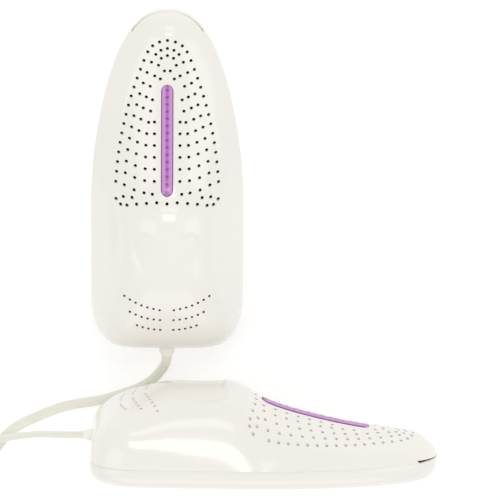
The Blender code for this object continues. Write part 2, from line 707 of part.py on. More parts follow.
def add_splitter():
    """A moulded block: two cords go in side by side, one comes out."""
    back, front = -SPLITTER_LENGTH / 2, SPLITTER_LENGTH / 2
    half = SPLITTER_THICKNESS / 2
    sections = (
        (back, 0.0036), (back + 0.006, 0.0042), (0.0, 0.0075), (front - 0.003, 0.0105), (front, 0.0100),
    )
    outline_points = [(x, -wide) for x, wide in sections] + [(x, wide) for x, wide in reversed(sections)]
    part = add_part("y_splitter", slab("y_splitter", outline_points, -half, half), "plug_body")
    part.location = SPLITTER_PLACE - LAYOUT_CENTRE
    soften(part, 0.0012)


def add_coil():
    inner, outer = COIL_RADIUS - COIL_HALF_SECTION, COIL_RADIUS + COIL_HALF_SECTION
    low, high, corner = -COIL_HALF_SECTION, COIL_HALF_SECTION, 0.0018
    profile = (
        (inner + corner, high), (outer - corner, high), (outer, high - corner), (outer, low + corner),
        (outer - corner, low), (inner + corner, low), (inner, low + corner), (inner, high - corner),
        (inner + corner, high),
    )
    matrix = Matrix.Translation(COIL_CENTRE - LAYOUT_CENTRE)
    turned("cord_coil", profile, 32, "cord", matrix)
    # The band is a little longer than the coil is wide, because the coil curves inside it.
    inside = Vector((TIE_WIDTH, COIL_HALF_SECTION + GAP + TIE_THICKNESS, COIL_HALF_SECTION + GAP))
    outside = Vector((TIE_WIDTH / 2, inside.y + TIE_THICKNESS, inside.z + TIE_THICKNESS))
    middle = COIL_CENTRE - LAYOUT_CENTRE + Vector((0, COIL_RADIUS, 0))
    tie = add_part("coil_tie", box("coil_tie", middle - outside, middle + outside), "coil_tie")
    combine(tie, add_cutter("tie_hole", box("tie_hole", middle - inside, middle + inside)))


def add_plug():
    """A flat two-pin plug that lies on its side face, its neck towards the cord."""
    back = PLUG_BACK - LAYOUT_CENTRE
    start = PLUG_NECK_LENGTH
    end = start + PLUG_BODY_LENGTH
    side_line = (
        (start, 0.0055), (start + 0.006, 0.0090), (start + 0.016, 0.0150), (start + 0.022, PLUG_HALF_WIDTH),
        (end - 0.002, PLUG_HALF_WIDTH), (end, 0.0160),
    )
    points = [(wide, reach) for reach, wide in side_line] + [(-wide, reach) for reach, wide in reversed(side_line)]
    half = PLUG_THICKNESS / 2
    body = add_part("plug_body", slab("plug_body", points, -half, half), "plug_body")
    body.location = back
    soften(body, 0.0022)
    shape = bmesh.new()
    length = PLUG_NECK_LENGTH + 0.004
    bmesh.ops.create_cone(shape, cap_ends=True, segments=16, radius1=0.0030, radius2=0.0050, depth=length)
    turn = Matrix.Rotation(-math.pi / 2, 4, "X")
    bmesh.ops.transform(shape, matrix=Matrix.Translation((0, length / 2, 0)) @ turn, verts=shape.verts)
    neck = add_cutter("plug_neck", mesh_from("plug_neck", shape))
    neck.location = back
    combine(body, neck, "UNION")
    upright = Matrix.Rotation(-math.pi / 2, 4, "X")
    tip = PIN_LENGTH
    profile = (
        (0.0, tip), (PIN_RADIUS * 0.6, tip - 0.0004), (PIN_RADIUS, tip - 0.0016), (PIN_RADIUS, 0.0), (0.0, 0.0),
    )
    for number, side in ((1, -1), (2, 1)):
        place = back + Vector((side * PIN_SPACING / 2, end + GAP, 0))
        turned(f"plug_pin_{number}", profile, 12, "plug_pin", Matrix.Translation(place) @ upright)


clear_scene()
PARTS = new_collection("boot_dryer")
CUTTERS = new_collection("cutters")
add_dryer("left", Matrix.Translation((0, LEFT_HEEL_Y, 0)) @ Matrix.Rotation(LEFT_TURN, 4, "Z"))
ON_FLANK = Matrix.Rotation(-math.pi / 2, 4, "X")
add_dryer(
    "right",
    Matrix.Translation((RIGHT_HEEL_X, 0, HALF_WIDTH)) @ Matrix.Rotation(RIGHT_TURN, 4, "Z") @ ON_FLANK,
)
add_cords()
add_splitter()
add_coil()
add_plug()
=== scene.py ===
# %% [markdown]
# # A pair of boot dryers
#
# Two foot-shaped warmers share one mains lead. Each has a white two-part shell, a field of small vents, a
# violet light strip and a thumb scoop on its heel. One lies on its sole and the other on its flank.
#
# The engineering model comes first and gives every place and size. This script then gives each outer
# piece its real curves and finish, and gives the inner parts their materials.

# %% Load the frame
import json
import math

import bmesh
import bpy
import numpy as np
from mathutils import Matrix, Vector
from mathutils.bvhtree import BVHTree


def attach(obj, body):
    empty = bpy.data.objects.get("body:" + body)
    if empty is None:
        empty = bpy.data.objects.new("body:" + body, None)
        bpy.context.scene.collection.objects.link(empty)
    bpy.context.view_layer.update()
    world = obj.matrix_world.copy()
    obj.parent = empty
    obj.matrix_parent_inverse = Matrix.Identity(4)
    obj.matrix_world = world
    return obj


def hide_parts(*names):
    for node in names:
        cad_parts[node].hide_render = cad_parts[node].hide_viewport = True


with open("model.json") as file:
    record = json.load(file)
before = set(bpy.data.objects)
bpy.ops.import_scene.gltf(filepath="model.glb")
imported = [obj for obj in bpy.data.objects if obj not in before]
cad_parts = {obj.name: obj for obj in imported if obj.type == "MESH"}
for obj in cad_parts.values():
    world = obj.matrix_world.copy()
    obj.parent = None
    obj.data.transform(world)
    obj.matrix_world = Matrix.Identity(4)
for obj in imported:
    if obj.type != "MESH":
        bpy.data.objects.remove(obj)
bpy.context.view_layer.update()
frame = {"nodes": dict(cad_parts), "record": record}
nodes = frame["nodes"]

# %% [markdown]
# ## Camera
#
# The pair is seen from almost straight above, leaning 17 degrees towards the bottom edge of the view. A
# very long lens from far away keeps parallel edges parallel, so that both dryers show their true outline.
# Every object here is made the same way, so one helper names it, places it and links it to the scene.

# %% Camera
LAYOUT_CENTRE = Vector((0.04911, 0.11777, 0.0))
CAMERA_TILT = math.radians(17)
CAMERA_REACH = 8.0
VIEW_WIDTH = 0.26
SENSOR = 36.0
FAR_CLIP = 100.0
AIM = Vector((0.0432, 0.10625, 0.0)) - LAYOUT_CENTRE


def add_object(name, data, matrix=Matrix.Identity(4)):
    thing = bpy.data.objects.new(name, data)
    thing.matrix_world = matrix
    bpy.context.scene.collection.objects.link(thing)
    return thing


def add_camera():
    forward = Vector((0, -math.sin(CAMERA_TILT), -math.cos(CAMERA_TILT)))
    up = Vector((0, math.cos(CAMERA_TILT), -math.sin(CAMERA_TILT)))
    turn = Matrix((Vector((1, 0, 0)), up, -forward)).transposed().to_4x4()
    data = bpy.data.cameras.new("camera")
    data.sensor_width = SENSOR
    data.lens = SENSOR * CAMERA_REACH / VIEW_WIDTH
    data.clip_end = FAR_CLIP
    camera = add_object("camera", data, Matrix.Translation(AIM - forward * CAMERA_REACH) @ turn)
    bpy.context.scene.camera = camera
    return camera


print("camera at", tuple(round(x, 2) for x in add_camera().matrix_world.translation))

# %% [markdown]
# ## Helpers
#
# Most pieces are lofts: rings of points joined into a skin. Blender's curve objects could sweep some of them,
# but rows of points let each section have its own shape. One helper turns rows into a mesh object, and
# another rides it on the one body and hides the engineering parts that it stands for.


# %% Helpers for pieces
def new_piece(name, verts, faces, materials, matrix=Matrix.Identity(4), smooth=True):
    mesh = bpy.data.meshes.new(name)
    mesh.from_pydata([tuple(v) for v in verts], [], faces)
    mesh.validate()
    for material in materials:
        mesh.materials.append(material)
    mesh.polygons.foreach_set("use_smooth", [smooth] * len(mesh.polygons))
    return add_object(name, mesh, matrix)


def settle(piece, slot, *stands_for):
    """Rides the piece on the one body and hides the parts that it stands for."""
    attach(piece, "root")
    if stands_for:
        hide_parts(*stands_for)
    print(f"{piece.name}: {len(piece.data.polygons)} faces")
    return piece


def skin(rows, ends=True):
    """(verts, faces) of rings of points joined side by side, with a cap on each end unless told not to."""
    count = len(rows[0])
    verts = [p for row in rows for p in row]
    faces = []
    for i in range(len(rows) - 1):
        for j in range(count):
            k = (j + 1) % count
            faces.append((i * count + j, i * count + k, (i + 1) * count + k, (i + 1) * count + j))
    if ends:
        faces.append(tuple(reversed(range(count))))
        faces.append(tuple((len(rows) - 1) * count + j for j in range(count)))
    return verts, faces


def face_out(piece):
    """Turns every face of a closed piece outwards."""
    shape = bmesh.new()
    shape.from_mesh(piece.data)
    bmesh.ops.recalc_face_normals(shape, faces=shape.faces)
    shape.to_mesh(piece.data)
    shape.free()
    return piece


print("a cube's skin has", len(skin([[(0, 0), (1, 0), (1, 1), (0, 1)]] * 2)[1]), "faces")


# %% Helpers for curves
def smooth_curve(points, count):
    """Points at even steps along the natural cubic spline through the given points."""
    knots = np.array(points, float)
    reach = np.linalg.norm(np.diff(knots, axis=0), axis=1)
    places = np.concatenate([[0.0], np.cumsum(reach)])
    size = len(knots)
    matrix = np.eye(size)
    target = np.zeros_like(knots)
    for i in range(1, size - 1):
        before, after = reach[i - 1], reach[i]
        matrix[i, i - 1 : i + 2] = before, 2 * (before + after), after
        target[i] = 6 * ((knots[i + 1] - knots[i]) / after - (knots[i] - knots[i - 1]) / before)
    bend = np.linalg.solve(matrix, target)
    result = []
    for place in np.linspace(0, places[-1], count):
        i = min(np.searchsorted(places, place, side="right") - 1, size - 2)
        step = reach[i]
        a, b = (places[i + 1] - place) / step, (place - places[i]) / step
        straight = a * knots[i] + b * knots[i + 1]
        result.append(straight + ((a**3 - a) * bend[i] + (b**3 - b) * bend[i + 1]) * step**2 / 6)
    return np.array(result)


def run_length(points):
    return float(np.linalg.norm(np.diff(np.array(points), axis=0), axis=1).sum())


def ease(value, low, high):
    """A smooth step from 0 at low to 1 at high."""
    share = np.clip((value - low) / (high - low), 0.0, 1.0)
    return share * share * (3 - 2 * share)


print("halfway up a smooth step:", float(ease(0.5, 0, 1)))

# %% [markdown]
# ## Shared surface effects
#
# Moulded plastic is never one flat colour. Four shader groups are made once and placed in each material
# with its own values: a faint mottle with a fine moulded grain, marks from handling, brushed streaks for
# metal, and bands for anything wound or printed in stripes. They give colours, roughness and heights only.
# The same nodes could be copied into every material, but a group keeps one effect in one place.


# %% Node helpers
def new_group(name, inputs, outputs):
    group = bpy.data.node_groups.new(name, "ShaderNodeTree")
    for label, kind, value in inputs:
        socket = group.interface.new_socket(label, in_out="INPUT", socket_type=kind)
        if value is not None:
            socket.default_value = value
    for label, kind in outputs:
        group.interface.new_socket(label, in_out="OUTPUT", socket_type=kind)
    return group, group.nodes.new("NodeGroupInput"), group.nodes.new("NodeGroupOutput")


def put(tree, kind, **values):
    node = tree.nodes.new(kind)
    for key, value in values.items():
        setattr(node, key, value)
    return node


def maths(tree, operation, first, second=None, third=None):
    node = put(tree, "ShaderNodeMath", operation=operation)
    for place, value in enumerate((first, second, third)):
        if value is None:
            continue
        if isinstance(value, (int, float)):
            node.inputs[place].default_value = value
        else:
            tree.links.new(value, node.inputs[place])
    return node.outputs[0]


def at_least_nought(tree, value):
    return maths(tree, "MAXIMUM", value, 0.0)


def at_most_one(tree, value):
    return maths(tree, "MINIMUM", value, 1.0)


def feed(tree, node, **values):
    """Gives a node's inputs links or constants. An underscore in a name stands for a space."""
    for name, value in values.items():
        socket = node.inputs[name.replace("_", " ")]
        if isinstance(value, bpy.types.NodeSocket):
            tree.links.new(value, socket)
        elif isinstance(value, tuple) and len(value) == 3 and socket.type == "RGBA":
            socket.default_value = (*value, 1.0)
        else:
            socket.default_value = value
    return node


def noise(tree, vector, scale, detail=2.0, roughness=0.5):
    node = put(tree, "ShaderNodeTexNoise")
    return feed(tree, node, Detail=detail, Roughness=roughness, Vector=vector, Scale=scale).outputs["Fac"]


def stretched(tree, vector, factors):
    """The coordinates stretched along each axis, for marks that run one way."""
    node = put(tree, "ShaderNodeVectorMath", operation="MULTIPLY")
    for place, value in enumerate((vector, factors)):
        if isinstance(value, tuple):
            node.inputs[place].default_value = value
        else:
            tree.links.new(value, node.inputs[place])
    return node.outputs["Vector"]


def blend(tree, share, first, second):
    """Colour between two colours by a share; each is a socket or an (r, g, b)."""
    node = put(tree, "ShaderNodeMix", data_type="RGBA")
    tree.links.new(share, node.inputs["Factor"])
    for place, value in ((6, first), (7, second)):
        if isinstance(value, tuple):
            node.inputs[place].default_value = (*value, 1.0)
        else:
            tree.links.new(value, node.inputs[place])
    return node.outputs[2]


print("node helpers:", [helper.__name__ for helper in (new_group, maths, feed, noise, stretched, blend)])

# %% Moulded mottle
CLOUD_GAIN, CLOUD_LOSS = 2.2, -0.6


def build_mottle():
    """Cloudy tint and fine grain of a moulded surface."""
    group, inp, out = new_group(
        "moulded_mottle",
        (("Vector", "NodeSocketVector", None), ("Colour", "NodeSocketColor", (0.8, 0.8, 0.8, 1)),
         ("Shade", "NodeSocketColor", (0.7, 0.7, 0.7, 1)), ("Cloud Scale", "NodeSocketFloat", 30.0),
         ("Grain Scale", "NodeSocketFloat", 2500.0)),
        (("Colour", "NodeSocketColor"), ("Grain", "NodeSocketFloat"), ("Cloud", "NodeSocketFloat")),
    )
    cloud = noise(group, inp.outputs["Vector"], inp.outputs["Cloud Scale"], 3.0, 0.55)
    grain = noise(group, inp.outputs["Vector"], inp.outputs["Grain Scale"], 2.0, 0.6)
    contrast = maths(group, "MULTIPLY_ADD", cloud, CLOUD_GAIN, CLOUD_LOSS)
    spread = at_most_one(group, at_least_nought(group, contrast))
    tint = blend(group, spread, inp.outputs["Colour"], inp.outputs["Shade"])
    feed(group, out, Colour=tint, Grain=grain, Cloud=cloud)
    return group


MOTTLE = build_mottle()
print(MOTTLE.name, "has", len(MOTTLE.nodes), "nodes")

# %% Handling marks
SCRATCH_TURN = 0.6
SCRATCH_STRETCH = (1.0, 22.0, 6.0)
SCRATCH_GAIN = 30.0
WORN_GAIN, WORN_LOSS = 5.0, -2.6
PATCH_SCALE, PATCH_SHARE = 0.7, 0.5


def build_handling():
    """Sparse hair scratches and dull patches from use, as a mask and a roughness to add."""
    group, inp, out = new_group(
        "handling_marks",
        (("Vector", "NodeSocketVector", None), ("Scale", "NodeSocketFloat", 60.0),
         ("Amount", "NodeSocketFloat", 0.05)),
        (("Mask", "NodeSocketFloat"), ("Roughness", "NodeSocketFloat")),
    )
    turn = put(group, "ShaderNodeVectorRotate", rotation_type="Z_AXIS")
    feed(group, turn, Angle=SCRATCH_TURN, Vector=inp.outputs["Vector"])
    drawn = stretched(group, turn.outputs["Vector"], SCRATCH_STRETCH)
    lines = noise(group, drawn, inp.outputs["Scale"], 4.0, 0.7)
    middle = maths(group, "MULTIPLY_ADD", lines, SCRATCH_GAIN, -SCRATCH_GAIN / 2)
    off_line = maths(group, "ABSOLUTE", middle)
    scratch = at_least_nought(group, maths(group, "SUBTRACT", 1.0, off_line))
    patches = noise(group, inp.outputs["Vector"], maths(group, "MULTIPLY", inp.outputs["Scale"], PATCH_SCALE))
    worn = at_least_nought(group, maths(group, "MULTIPLY_ADD", patches, WORN_GAIN, WORN_LOSS))
    mask = at_most_one(group, maths(group, "MULTIPLY", scratch, worn))
    dull = maths(group, "ADD", mask, maths(group, "MULTIPLY", patches, PATCH_SHARE))
    feed(group, out, Mask=mask, Roughness=maths(group, "MULTIPLY", dull, inp.outputs["Amount"]))
    return group


HANDLING = build_handling()
print(HANDLING.name, "has", len(HANDLING.nodes), "nodes")


# %% Drawn streaks
def build_streaks():
    """Brushed or drawn streaks along the stretched axis of metal."""
    group, inp, out = new_group(
        "drawn_streaks",
        (("Vector", "NodeSocketVector", None), ("Stretch", "NodeSocketVector", (1.0, 40.0, 40.0)),
         ("Scale", "NodeSocketFloat", 60.0)),
        (("Streak", "NodeSocketFloat"), ("Dull", "NodeSocketFloat")),
    )
    drawn = stretched(group, inp.outputs["Vector"], inp.outputs["Stretch"])
    streak = noise(group, drawn, inp.outputs["Scale"], 5.0, 0.65)
    dull = noise(group, inp.outputs["Vector"], maths(group, "MULTIPLY", inp.outputs["Scale"], 2.0), 3.0, 0.6)
    feed(group, out, Streak=streak, Dull=dull)
    return group


STREAKS = build_streaks()
print(STREAKS.name, "has", len(STREAKS.nodes), "nodes")


# %% Even bands
def build_bands():
    """Even bands along one axis: windings, printed stripes, the painted shade of ribs behind a lens."""
    group, inp, out = new_group(
        "even_bands",
        (("Along", "NodeSocketFloat", 0.0), ("Pitch", "NodeSocketFloat", 0.001),
         ("Share", "NodeSocketFloat", 0.5), ("Blur", "NodeSocketFloat", 0.15)),
        (("Band", "NodeSocketFloat"), ("Wave", "NodeSocketFloat")),
    )
    turns = maths(group, "DIVIDE", inp.outputs["Along"], inp.outputs["Pitch"])
    phase = maths(group, "ABSOLUTE", maths(group, "MULTIPLY_ADD", maths(group, "FRACT", turns), 2.0, -1.0))
    over = maths(group, "SUBTRACT", phase, inp.outputs["Share"])
    rise = maths(group, "ADD", maths(group, "DIVIDE", over, inp.outputs["Blur"]), 0.5)
    feed(group, out, Band=at_most_one(group, at_least_nought(group, rise)), Wave=phase)
    return group


BANDS = build_bands()
print("shader groups:", [group.name for group in bpy.data.node_groups])

# %% [markdown]
# ## Finishes
#
# A finish is a Principled shader fed by those groups. Constant numbers such as coat and index sit on the
# shader itself. Four makers cover nearly everything here: moulded plastic, drawn metal, striped wraps and
# clear glass.

# %% Finish makers
COAT_ROUGHNESS = 0.04


def start_material(name):
    material = bpy.data.materials.new(name)
    material.use_nodes = True
    tree = material.node_tree
    shader = tree.nodes["Principled BSDF"]
    coords = put(tree, "ShaderNodeTexCoord").outputs["Object"]
    return material, tree, shader, coords


def place_group(tree, group, **values):
    return feed(tree, put(tree, "ShaderNodeGroup", node_tree=group), **values)


def bump(tree, shader, height, distance):
    node = feed(tree, put(tree, "ShaderNodeBump"), Distance=distance, Strength=1.0, Height=height)
    feed(tree, shader, Normal=node.outputs["Normal"])


def plastic(name, colour, shade, rough=0.3, grain=2500.0, depth=0.000004, coat=0.0, cloud=30.0, marks=0.05):
    material, tree, shader, coords = start_material(name)
    mottle = place_group(tree, MOTTLE, Vector=coords, Colour=colour, Shade=shade,
                         Cloud_Scale=cloud, Grain_Scale=grain)
    handling = place_group(tree, HANDLING, Vector=coords, Amount=marks)
    feed(tree, shader, Base_Color=mottle.outputs["Colour"], Coat_Weight=coat, Coat_Roughness=COAT_ROUGHNESS,
         Roughness=maths(tree, "ADD", handling.outputs["Roughness"], rough))
    bump(tree, shader, mottle.outputs["Grain"], depth)
    return material


def metal(name, bright, dark, rough=0.3, stretch=(1.0, 40.0, 40.0), scale=60.0, depth=0.00001):
    material, tree, shader, coords = start_material(name)
    streaks = place_group(tree, STREAKS, Vector=coords, Stretch=stretch, Scale=scale)
    feed(tree, shader, Base_Color=blend(tree, streaks.outputs["Dull"], bright, dark), Metallic=1.0,
         Roughness=maths(tree, "MULTIPLY_ADD", streaks.outputs["Streak"], 0.25, rough - 0.1))
    bump(tree, shader, streaks.outputs["Streak"], depth)
    return material


def striped(name, first, second, pitch, share=0.5, axis="X", rough=0.4, depth=0.00006, blur=0.2):
    material, tree, shader, coords = start_material(name)
    axes = feed(tree, put(tree, "ShaderNodeSeparateXYZ"), Vector=coords).outputs
    bands = place_group(tree, BANDS, Along=axes[axis], Pitch=pitch, Share=share, Blur=blur)
    mottle = place_group(tree, MOTTLE, Vector=coords, Colour=first, Shade=tuple(0.8 * c for c in first))
    feed(tree, shader, Base_Color=blend(tree, bands.outputs["Band"], mottle.outputs["Colour"], second),
         Roughness=maths(tree, "MULTIPLY_ADD", mottle.outputs["Grain"], 0.2, rough - 0.1))
    bump(tree, shader, bands.outputs["Wave"], depth)
    return material


def clear_glass(name, colour, rough=0.05, haze=0.3):
    material, tree, shader, coords = start_material(name)
    cloud = noise(tree, coords, 400.0, 3.0)
    hazed = blend(tree, cloud, colour, tuple(haze * 0.8 + c * (1 - haze) for c in colour))
    feed(tree, shader, Base_Color=hazed, Roughness=maths(tree, "MULTIPLY_ADD", cloud, 0.1, rough),
         Transmission_Weight=0.85, IOR=1.47)
    return material


print("finish makers:", [maker.__name__ for maker in (plastic, metal, striped, clear_glass)])

# %% [markdown]
# ## Where the two dryers stand
#
# Everything on a dryer is drawn in its own frame: X from heel to toe, Y across, Z up from the sole. Two
# placements then put it down twice, once on its sole and once rolled onto its flank.

# %% Placements
HALF_WIDTH = 0.0394
SIDES = ("left", "right")
PLACES = {
    "left": Matrix.Translation(-LAYOUT_CENTRE + Vector((0, 0.0586, 0)))
    @ Matrix.Rotation(math.radians(89.8), 4, "Z"),
    "right": Matrix.Translation(-LAYOUT_CENTRE + Vector((-0.0398, 0, HALF_WIDTH)))
    @ Matrix.Rotation(math.radians(-1.0), 4, "Z")
    @ Matrix.Rotation(-math.pi / 2, 4, "X"),
}


def add_space(side):
    """An empty that gives materials on the engineering parts the dryer's own directions."""
    return add_object(f"space_{side}", None, PLACES[side])


SPACES = {side: add_space(side) for side in SIDES}
print("placed:", list(SPACES))

# %% [markdown]
# ## The crown's curves
#
# The crown is a superellipse loft: a ridge line seen from the side, an outline seen from above, and an arch
# between them that is boxy over the heel and rounder over the toes. A grid of points samples it finely,
# so that its gloss runs smoothly. A polygon model pushed about by hand would show dents in the reflections.

# %% Crown curves
LENGTH = 0.180
MIDDLE = LENGTH / 2
HEEL_FLAT_HALF = 0.023
HEEL_CORNER_LENGTH, HEEL_CORNER_POWER = 0.024, 2.3
TOE_CURVE_START, TOE_CURVE_POWER, TOE_CURVE_ROOT = 0.080, 1.62, 0.4
HEEL_SQUARE_LENGTH = 0.030
ROUND_POWER, BOXY_POWER, SQUARE_POWER = 2, 0.6, 2.5
ROUND_ROOT, BOXY_ROOT = 1.07, 0.32
SEAM_HEIGHT = 0.0115
WALL = 0.002
# How boxy the cross-section is, from the heel to the toe: 0 is a round arch.
BOXY_PLACES = (0.020, 0.030, 0.038, 0.050, 0.064, 0.080, 0.095)
BOXY_SHARES = (1.30, 1.08, 0.75, 0.48, 0.38, 0.22, 0.0)
RIDGE = (
    (0.0000, 0.0175), (0.0006, 0.0203), (0.0028, 0.0252), (0.0094, 0.0322), (0.0180, 0.0377),
    (0.0286, 0.0426), (0.0400, 0.0463), (0.0560, 0.0481), (0.0690, 0.0481), (0.0760, 0.0467),
    (0.0830, 0.0431), (0.0880, 0.0401), (0.0930, 0.0377), (0.1000, 0.0352), (0.1150, 0.0311),
    (0.1300, 0.0278), (0.1440, 0.0255), (0.1600, 0.0237), (0.1700, 0.0214), (0.1765, 0.0168),
    (0.1800, 0.0118),
)
RIDGE_LINE = smooth_curve(RIDGE, 600)


def ridge_height(along):
    return np.interp(along, np.maximum.accumulate(RIDGE_LINE[:, 0]), RIDGE_LINE[:, 1])


def half_width(along):
    along = np.asarray(along, float)
    left = np.clip(1 - along / HEEL_CORNER_LENGTH, 0, 1)
    heel = HEEL_FLAT_HALF + (HALF_WIDTH - HEEL_FLAT_HALF) * (1 - left**2) ** (1 / HEEL_CORNER_POWER)
    share = np.clip((along - TOE_CURVE_START) / (LENGTH - TOE_CURVE_START), 0, 1)
    toe = HALF_WIDTH * (1 - share**TOE_CURVE_POWER) ** TOE_CURVE_ROOT
    return np.where(along < TOE_CURVE_START, heel, toe)


def arch(along, across):
    """Height of the crown's cross-section, 1 on the ridge and 0 at the rim; across runs from -1 to 1."""
    boxy = np.interp(along, BOXY_PLACES, BOXY_SHARES)
    square = 1 - ease(along, 0.0, HEEL_SQUARE_LENGTH)
    power = ROUND_POWER + BOXY_POWER * boxy + SQUARE_POWER * square
    share = np.maximum(1 - np.abs(across) ** power, 0.0)
    return share ** (ROUND_ROOT - BOXY_ROOT * boxy)


def drawn_in(value, wall):
    """A width or height less the wall, easing to nothing where it is thinner than that."""
    value = np.asarray(value, float)
    return np.where(value > 0, value * value / np.maximum(value + wall, 1e-9), 0.0)


def stations(count):
    """Places from heel to toe, close together at both ends."""
    return LENGTH * (1 - np.cos(np.pi * np.arange(count + 1) / count)) / 2


print(f"ridge {RIDGE_LINE[:, 1].max() * 1000:.1f} mm high, outline {HALF_WIDTH * 2000:.1f} mm wide")

# %% [markdown]
# ## Relief on the crown
#
# Two shapes are pressed into the crown. The thumb scoop on the heel is a dish that deepens towards the toe
# and ends in a crisp little wall. The vent field sits in a shallow panel with a soft edge. Sculpting or a
# displacement map could press them in, but both come from one exact idea: a closed outline seen from above,
# the distance from it, and a profile across that distance.

# %% Scoop and panel
SCOOP_DEPTH = 0.0012
SCOOP_REAR, SCOOP_FULL, SCOOP_FRONT = 0.036, 0.058, 0.070
SCOOP_RISE = 0.35
SOFT_WALL, WALL_FROM, WALL_TO = 0.0069, 0.048, 0.064
CRISP_WALL = 0.0009
SCOOP_LIP, PANEL_LIP, PANEL_SLOPE = 0.0003, 0.0003, 0.0008
SCOOP_OUTLINE = (
    (0.0683, 0.0), (0.0687, 0.0050), (0.0698, 0.0095), (0.0706, 0.0125), (0.0702, 0.0142),
    (0.0686, 0.0154), (0.0650, 0.0170), (0.0600, 0.0183), (0.0530, 0.0188), (0.0460, 0.0180),
    (0.0405, 0.0150), (0.0375, 0.0090), (0.0365, 0.0),
)
PANEL_DEPTH = 0.00028
PANEL_EDGE = (
    (0.1696, 0.0), (0.1680, 0.0062), (0.1640, 0.0102), (0.1560, 0.0142), (0.1420, 0.0193),
    (0.1223, 0.0246), (0.1050, 0.0275), (0.0900, 0.0288), (0.0850, 0.0288), (0.0825, 0.0270),
    (0.0814, 0.0235), (0.0812, 0.0180), (0.0818, 0.0100), (0.0824, 0.0),
)


def both_sides(half):
    """A closed outline from its half with across >= 0."""
    half = np.array(half, float)
    return np.concatenate([half, (half * (1, -1))[::-1][1:-1]])


def depth_inside(points, outline):
    """Distance from each point to a closed outline, positive inside."""
    start, end = outline, np.roll(outline, -1, axis=0)
    run = end - start
    reach = points[:, None, :] - start[None]
    share = np.clip((reach * run).sum(-1) / np.maximum((run * run).sum(-1), 1e-12), 0, 1)
    near = np.linalg.norm(reach - share[..., None] * run, axis=-1).min(axis=1)
    x, y = points[:, 0:1], points[:, 1:2]
    crosses = (start[:, 1] > y) != (end[:, 1] > y)
    rise = np.where(run[:, 1] == 0, 1e-12, run[:, 1])
    left = x < run[:, 0] * (y - start[:, 1]) / rise + start[:, 0]
    inside = (crosses & left).sum(axis=1) % 2 == 1
    return np.where(inside, near, -near)


PANEL = both_sides(smooth_curve(PANEL_EDGE, 90))
SCOOP = both_sides(smooth_curve(SCOOP_OUTLINE, 60))


def relief(along, sideways):
    """How far the surface lies below the plain crown."""
    points = np.stack([along.ravel(), sideways.ravel()], axis=1)
    in_scoop, in_panel = (depth_inside(points, edge).reshape(along.shape) for edge in (SCOOP, PANEL))
    deepening = ease(along, SCOOP_REAR, SCOOP_FULL) * (1 - SCOOP_RISE * ease(along, SCOOP_FULL, SCOOP_FRONT))
    slope = SOFT_WALL + (CRISP_WALL - SOFT_WALL) * ease(along, WALL_FROM, WALL_TO)
    scoop = SCOOP_DEPTH * deepening * ease(in_scoop, -SCOOP_LIP, slope)
    return scoop + PANEL_DEPTH * ease(in_panel, -PANEL_LIP, PANEL_SLOPE)


print("scoop", SCOOP_DEPTH * 1000, "mm deep, panel", PANEL_DEPTH * 1000, "mm deep")

# %% [markdown]
# ## Where the vents are
#
# The toe field is four nested arches round the light strip, a straight row beside the strip, and a closing
# row behind it. The heel has three curved rows in two halves. Holes on an arch sit at an even pitch along it,
# so each arch is a curve that is walked, and not a list of holes.

# %% Vent places
TOE_VENT_RADIUS = 0.00086
HEEL_VENT_RADIUS = 0.00070
# Each arch: its curve from the apex, the close steps at the apex, and the pitch after them.
ARCHES = (
    (((0.1674, 0.0), (0.1665, 0.0042), (0.1643, 0.0077), (0.1562, 0.0122), (0.1420, 0.0172),
      (0.1223, 0.0225), (0.1050, 0.0254), (0.0860, 0.0270)), (0.0042, 0.0042, 0.0042), 0.00507),
    (((0.1634, 0.0), (0.1624, 0.0033), (0.1602, 0.0059), (0.1560, 0.0082), (0.1445, 0.0125),
      (0.1265, 0.0174), (0.1080, 0.0206), (0.0860, 0.0225)), (0.0035, 0.0035, 0.0048), 0.0060),
    (((0.1597, 0.0), (0.1583, 0.0031), (0.1546, 0.0046), (0.1433, 0.0089), (0.1258, 0.0137),
      (0.1080, 0.0160), (0.0865, 0.0172)), (0.0035, 0.0040), 0.0060),
    (((0.1517, 0.0015), (0.1475, 0.0036), (0.1414, 0.0064), (0.1307, 0.0086), (0.1195, 0.0105),
      (0.1060, 0.0112), (0.0890, 0.0119)), (0.0047,), 0.0059),
)
CLOSING_ROW = (
    (0.0851, 0.0), (0.0855, 0.0053), (0.0848, 0.0106), (0.0838, 0.0157), (0.0824, 0.0207),
    (0.0821, 0.0240), (0.0841, 0.0264),
)
CORNER_VENTS = ((0.0860, 0.0226), (0.0865, 0.0181), (0.0893, 0.0076))
# The row beside the strip: where it starts and ends, how many vents, and how far across.
STRIP_ROW = (0.0955, 0.1252, 6, 0.0066)
HEEL_ROWS = (
    ((0.0279, 0.0037), (0.0302, 0.0125), (0.0345, 0.0220), 7),
    ((0.0217, 0.0035), (0.0229, 0.0112), (0.0259, 0.0191), 6),
    ((0.0154, 0.0034), (0.0161, 0.0092), (0.0181, 0.0154), 5),
)
LEAST_GAP = 0.0032


def walk(curve, first, pitch):
    """Places along a curve: a few close steps at the apex, then even ones."""
    fine = smooth_curve(curve, 300)
    walked = np.concatenate([[0], np.cumsum(np.linalg.norm(np.diff(fine, axis=0), axis=1))])
    start = sum(first)
    places = np.concatenate([np.cumsum((0.0, *first)), np.arange(start + pitch, walked[-1], pitch)])
    return [tuple(np.interp(place, walked, fine[:, k]) for k in (0, 1)) for place in places]


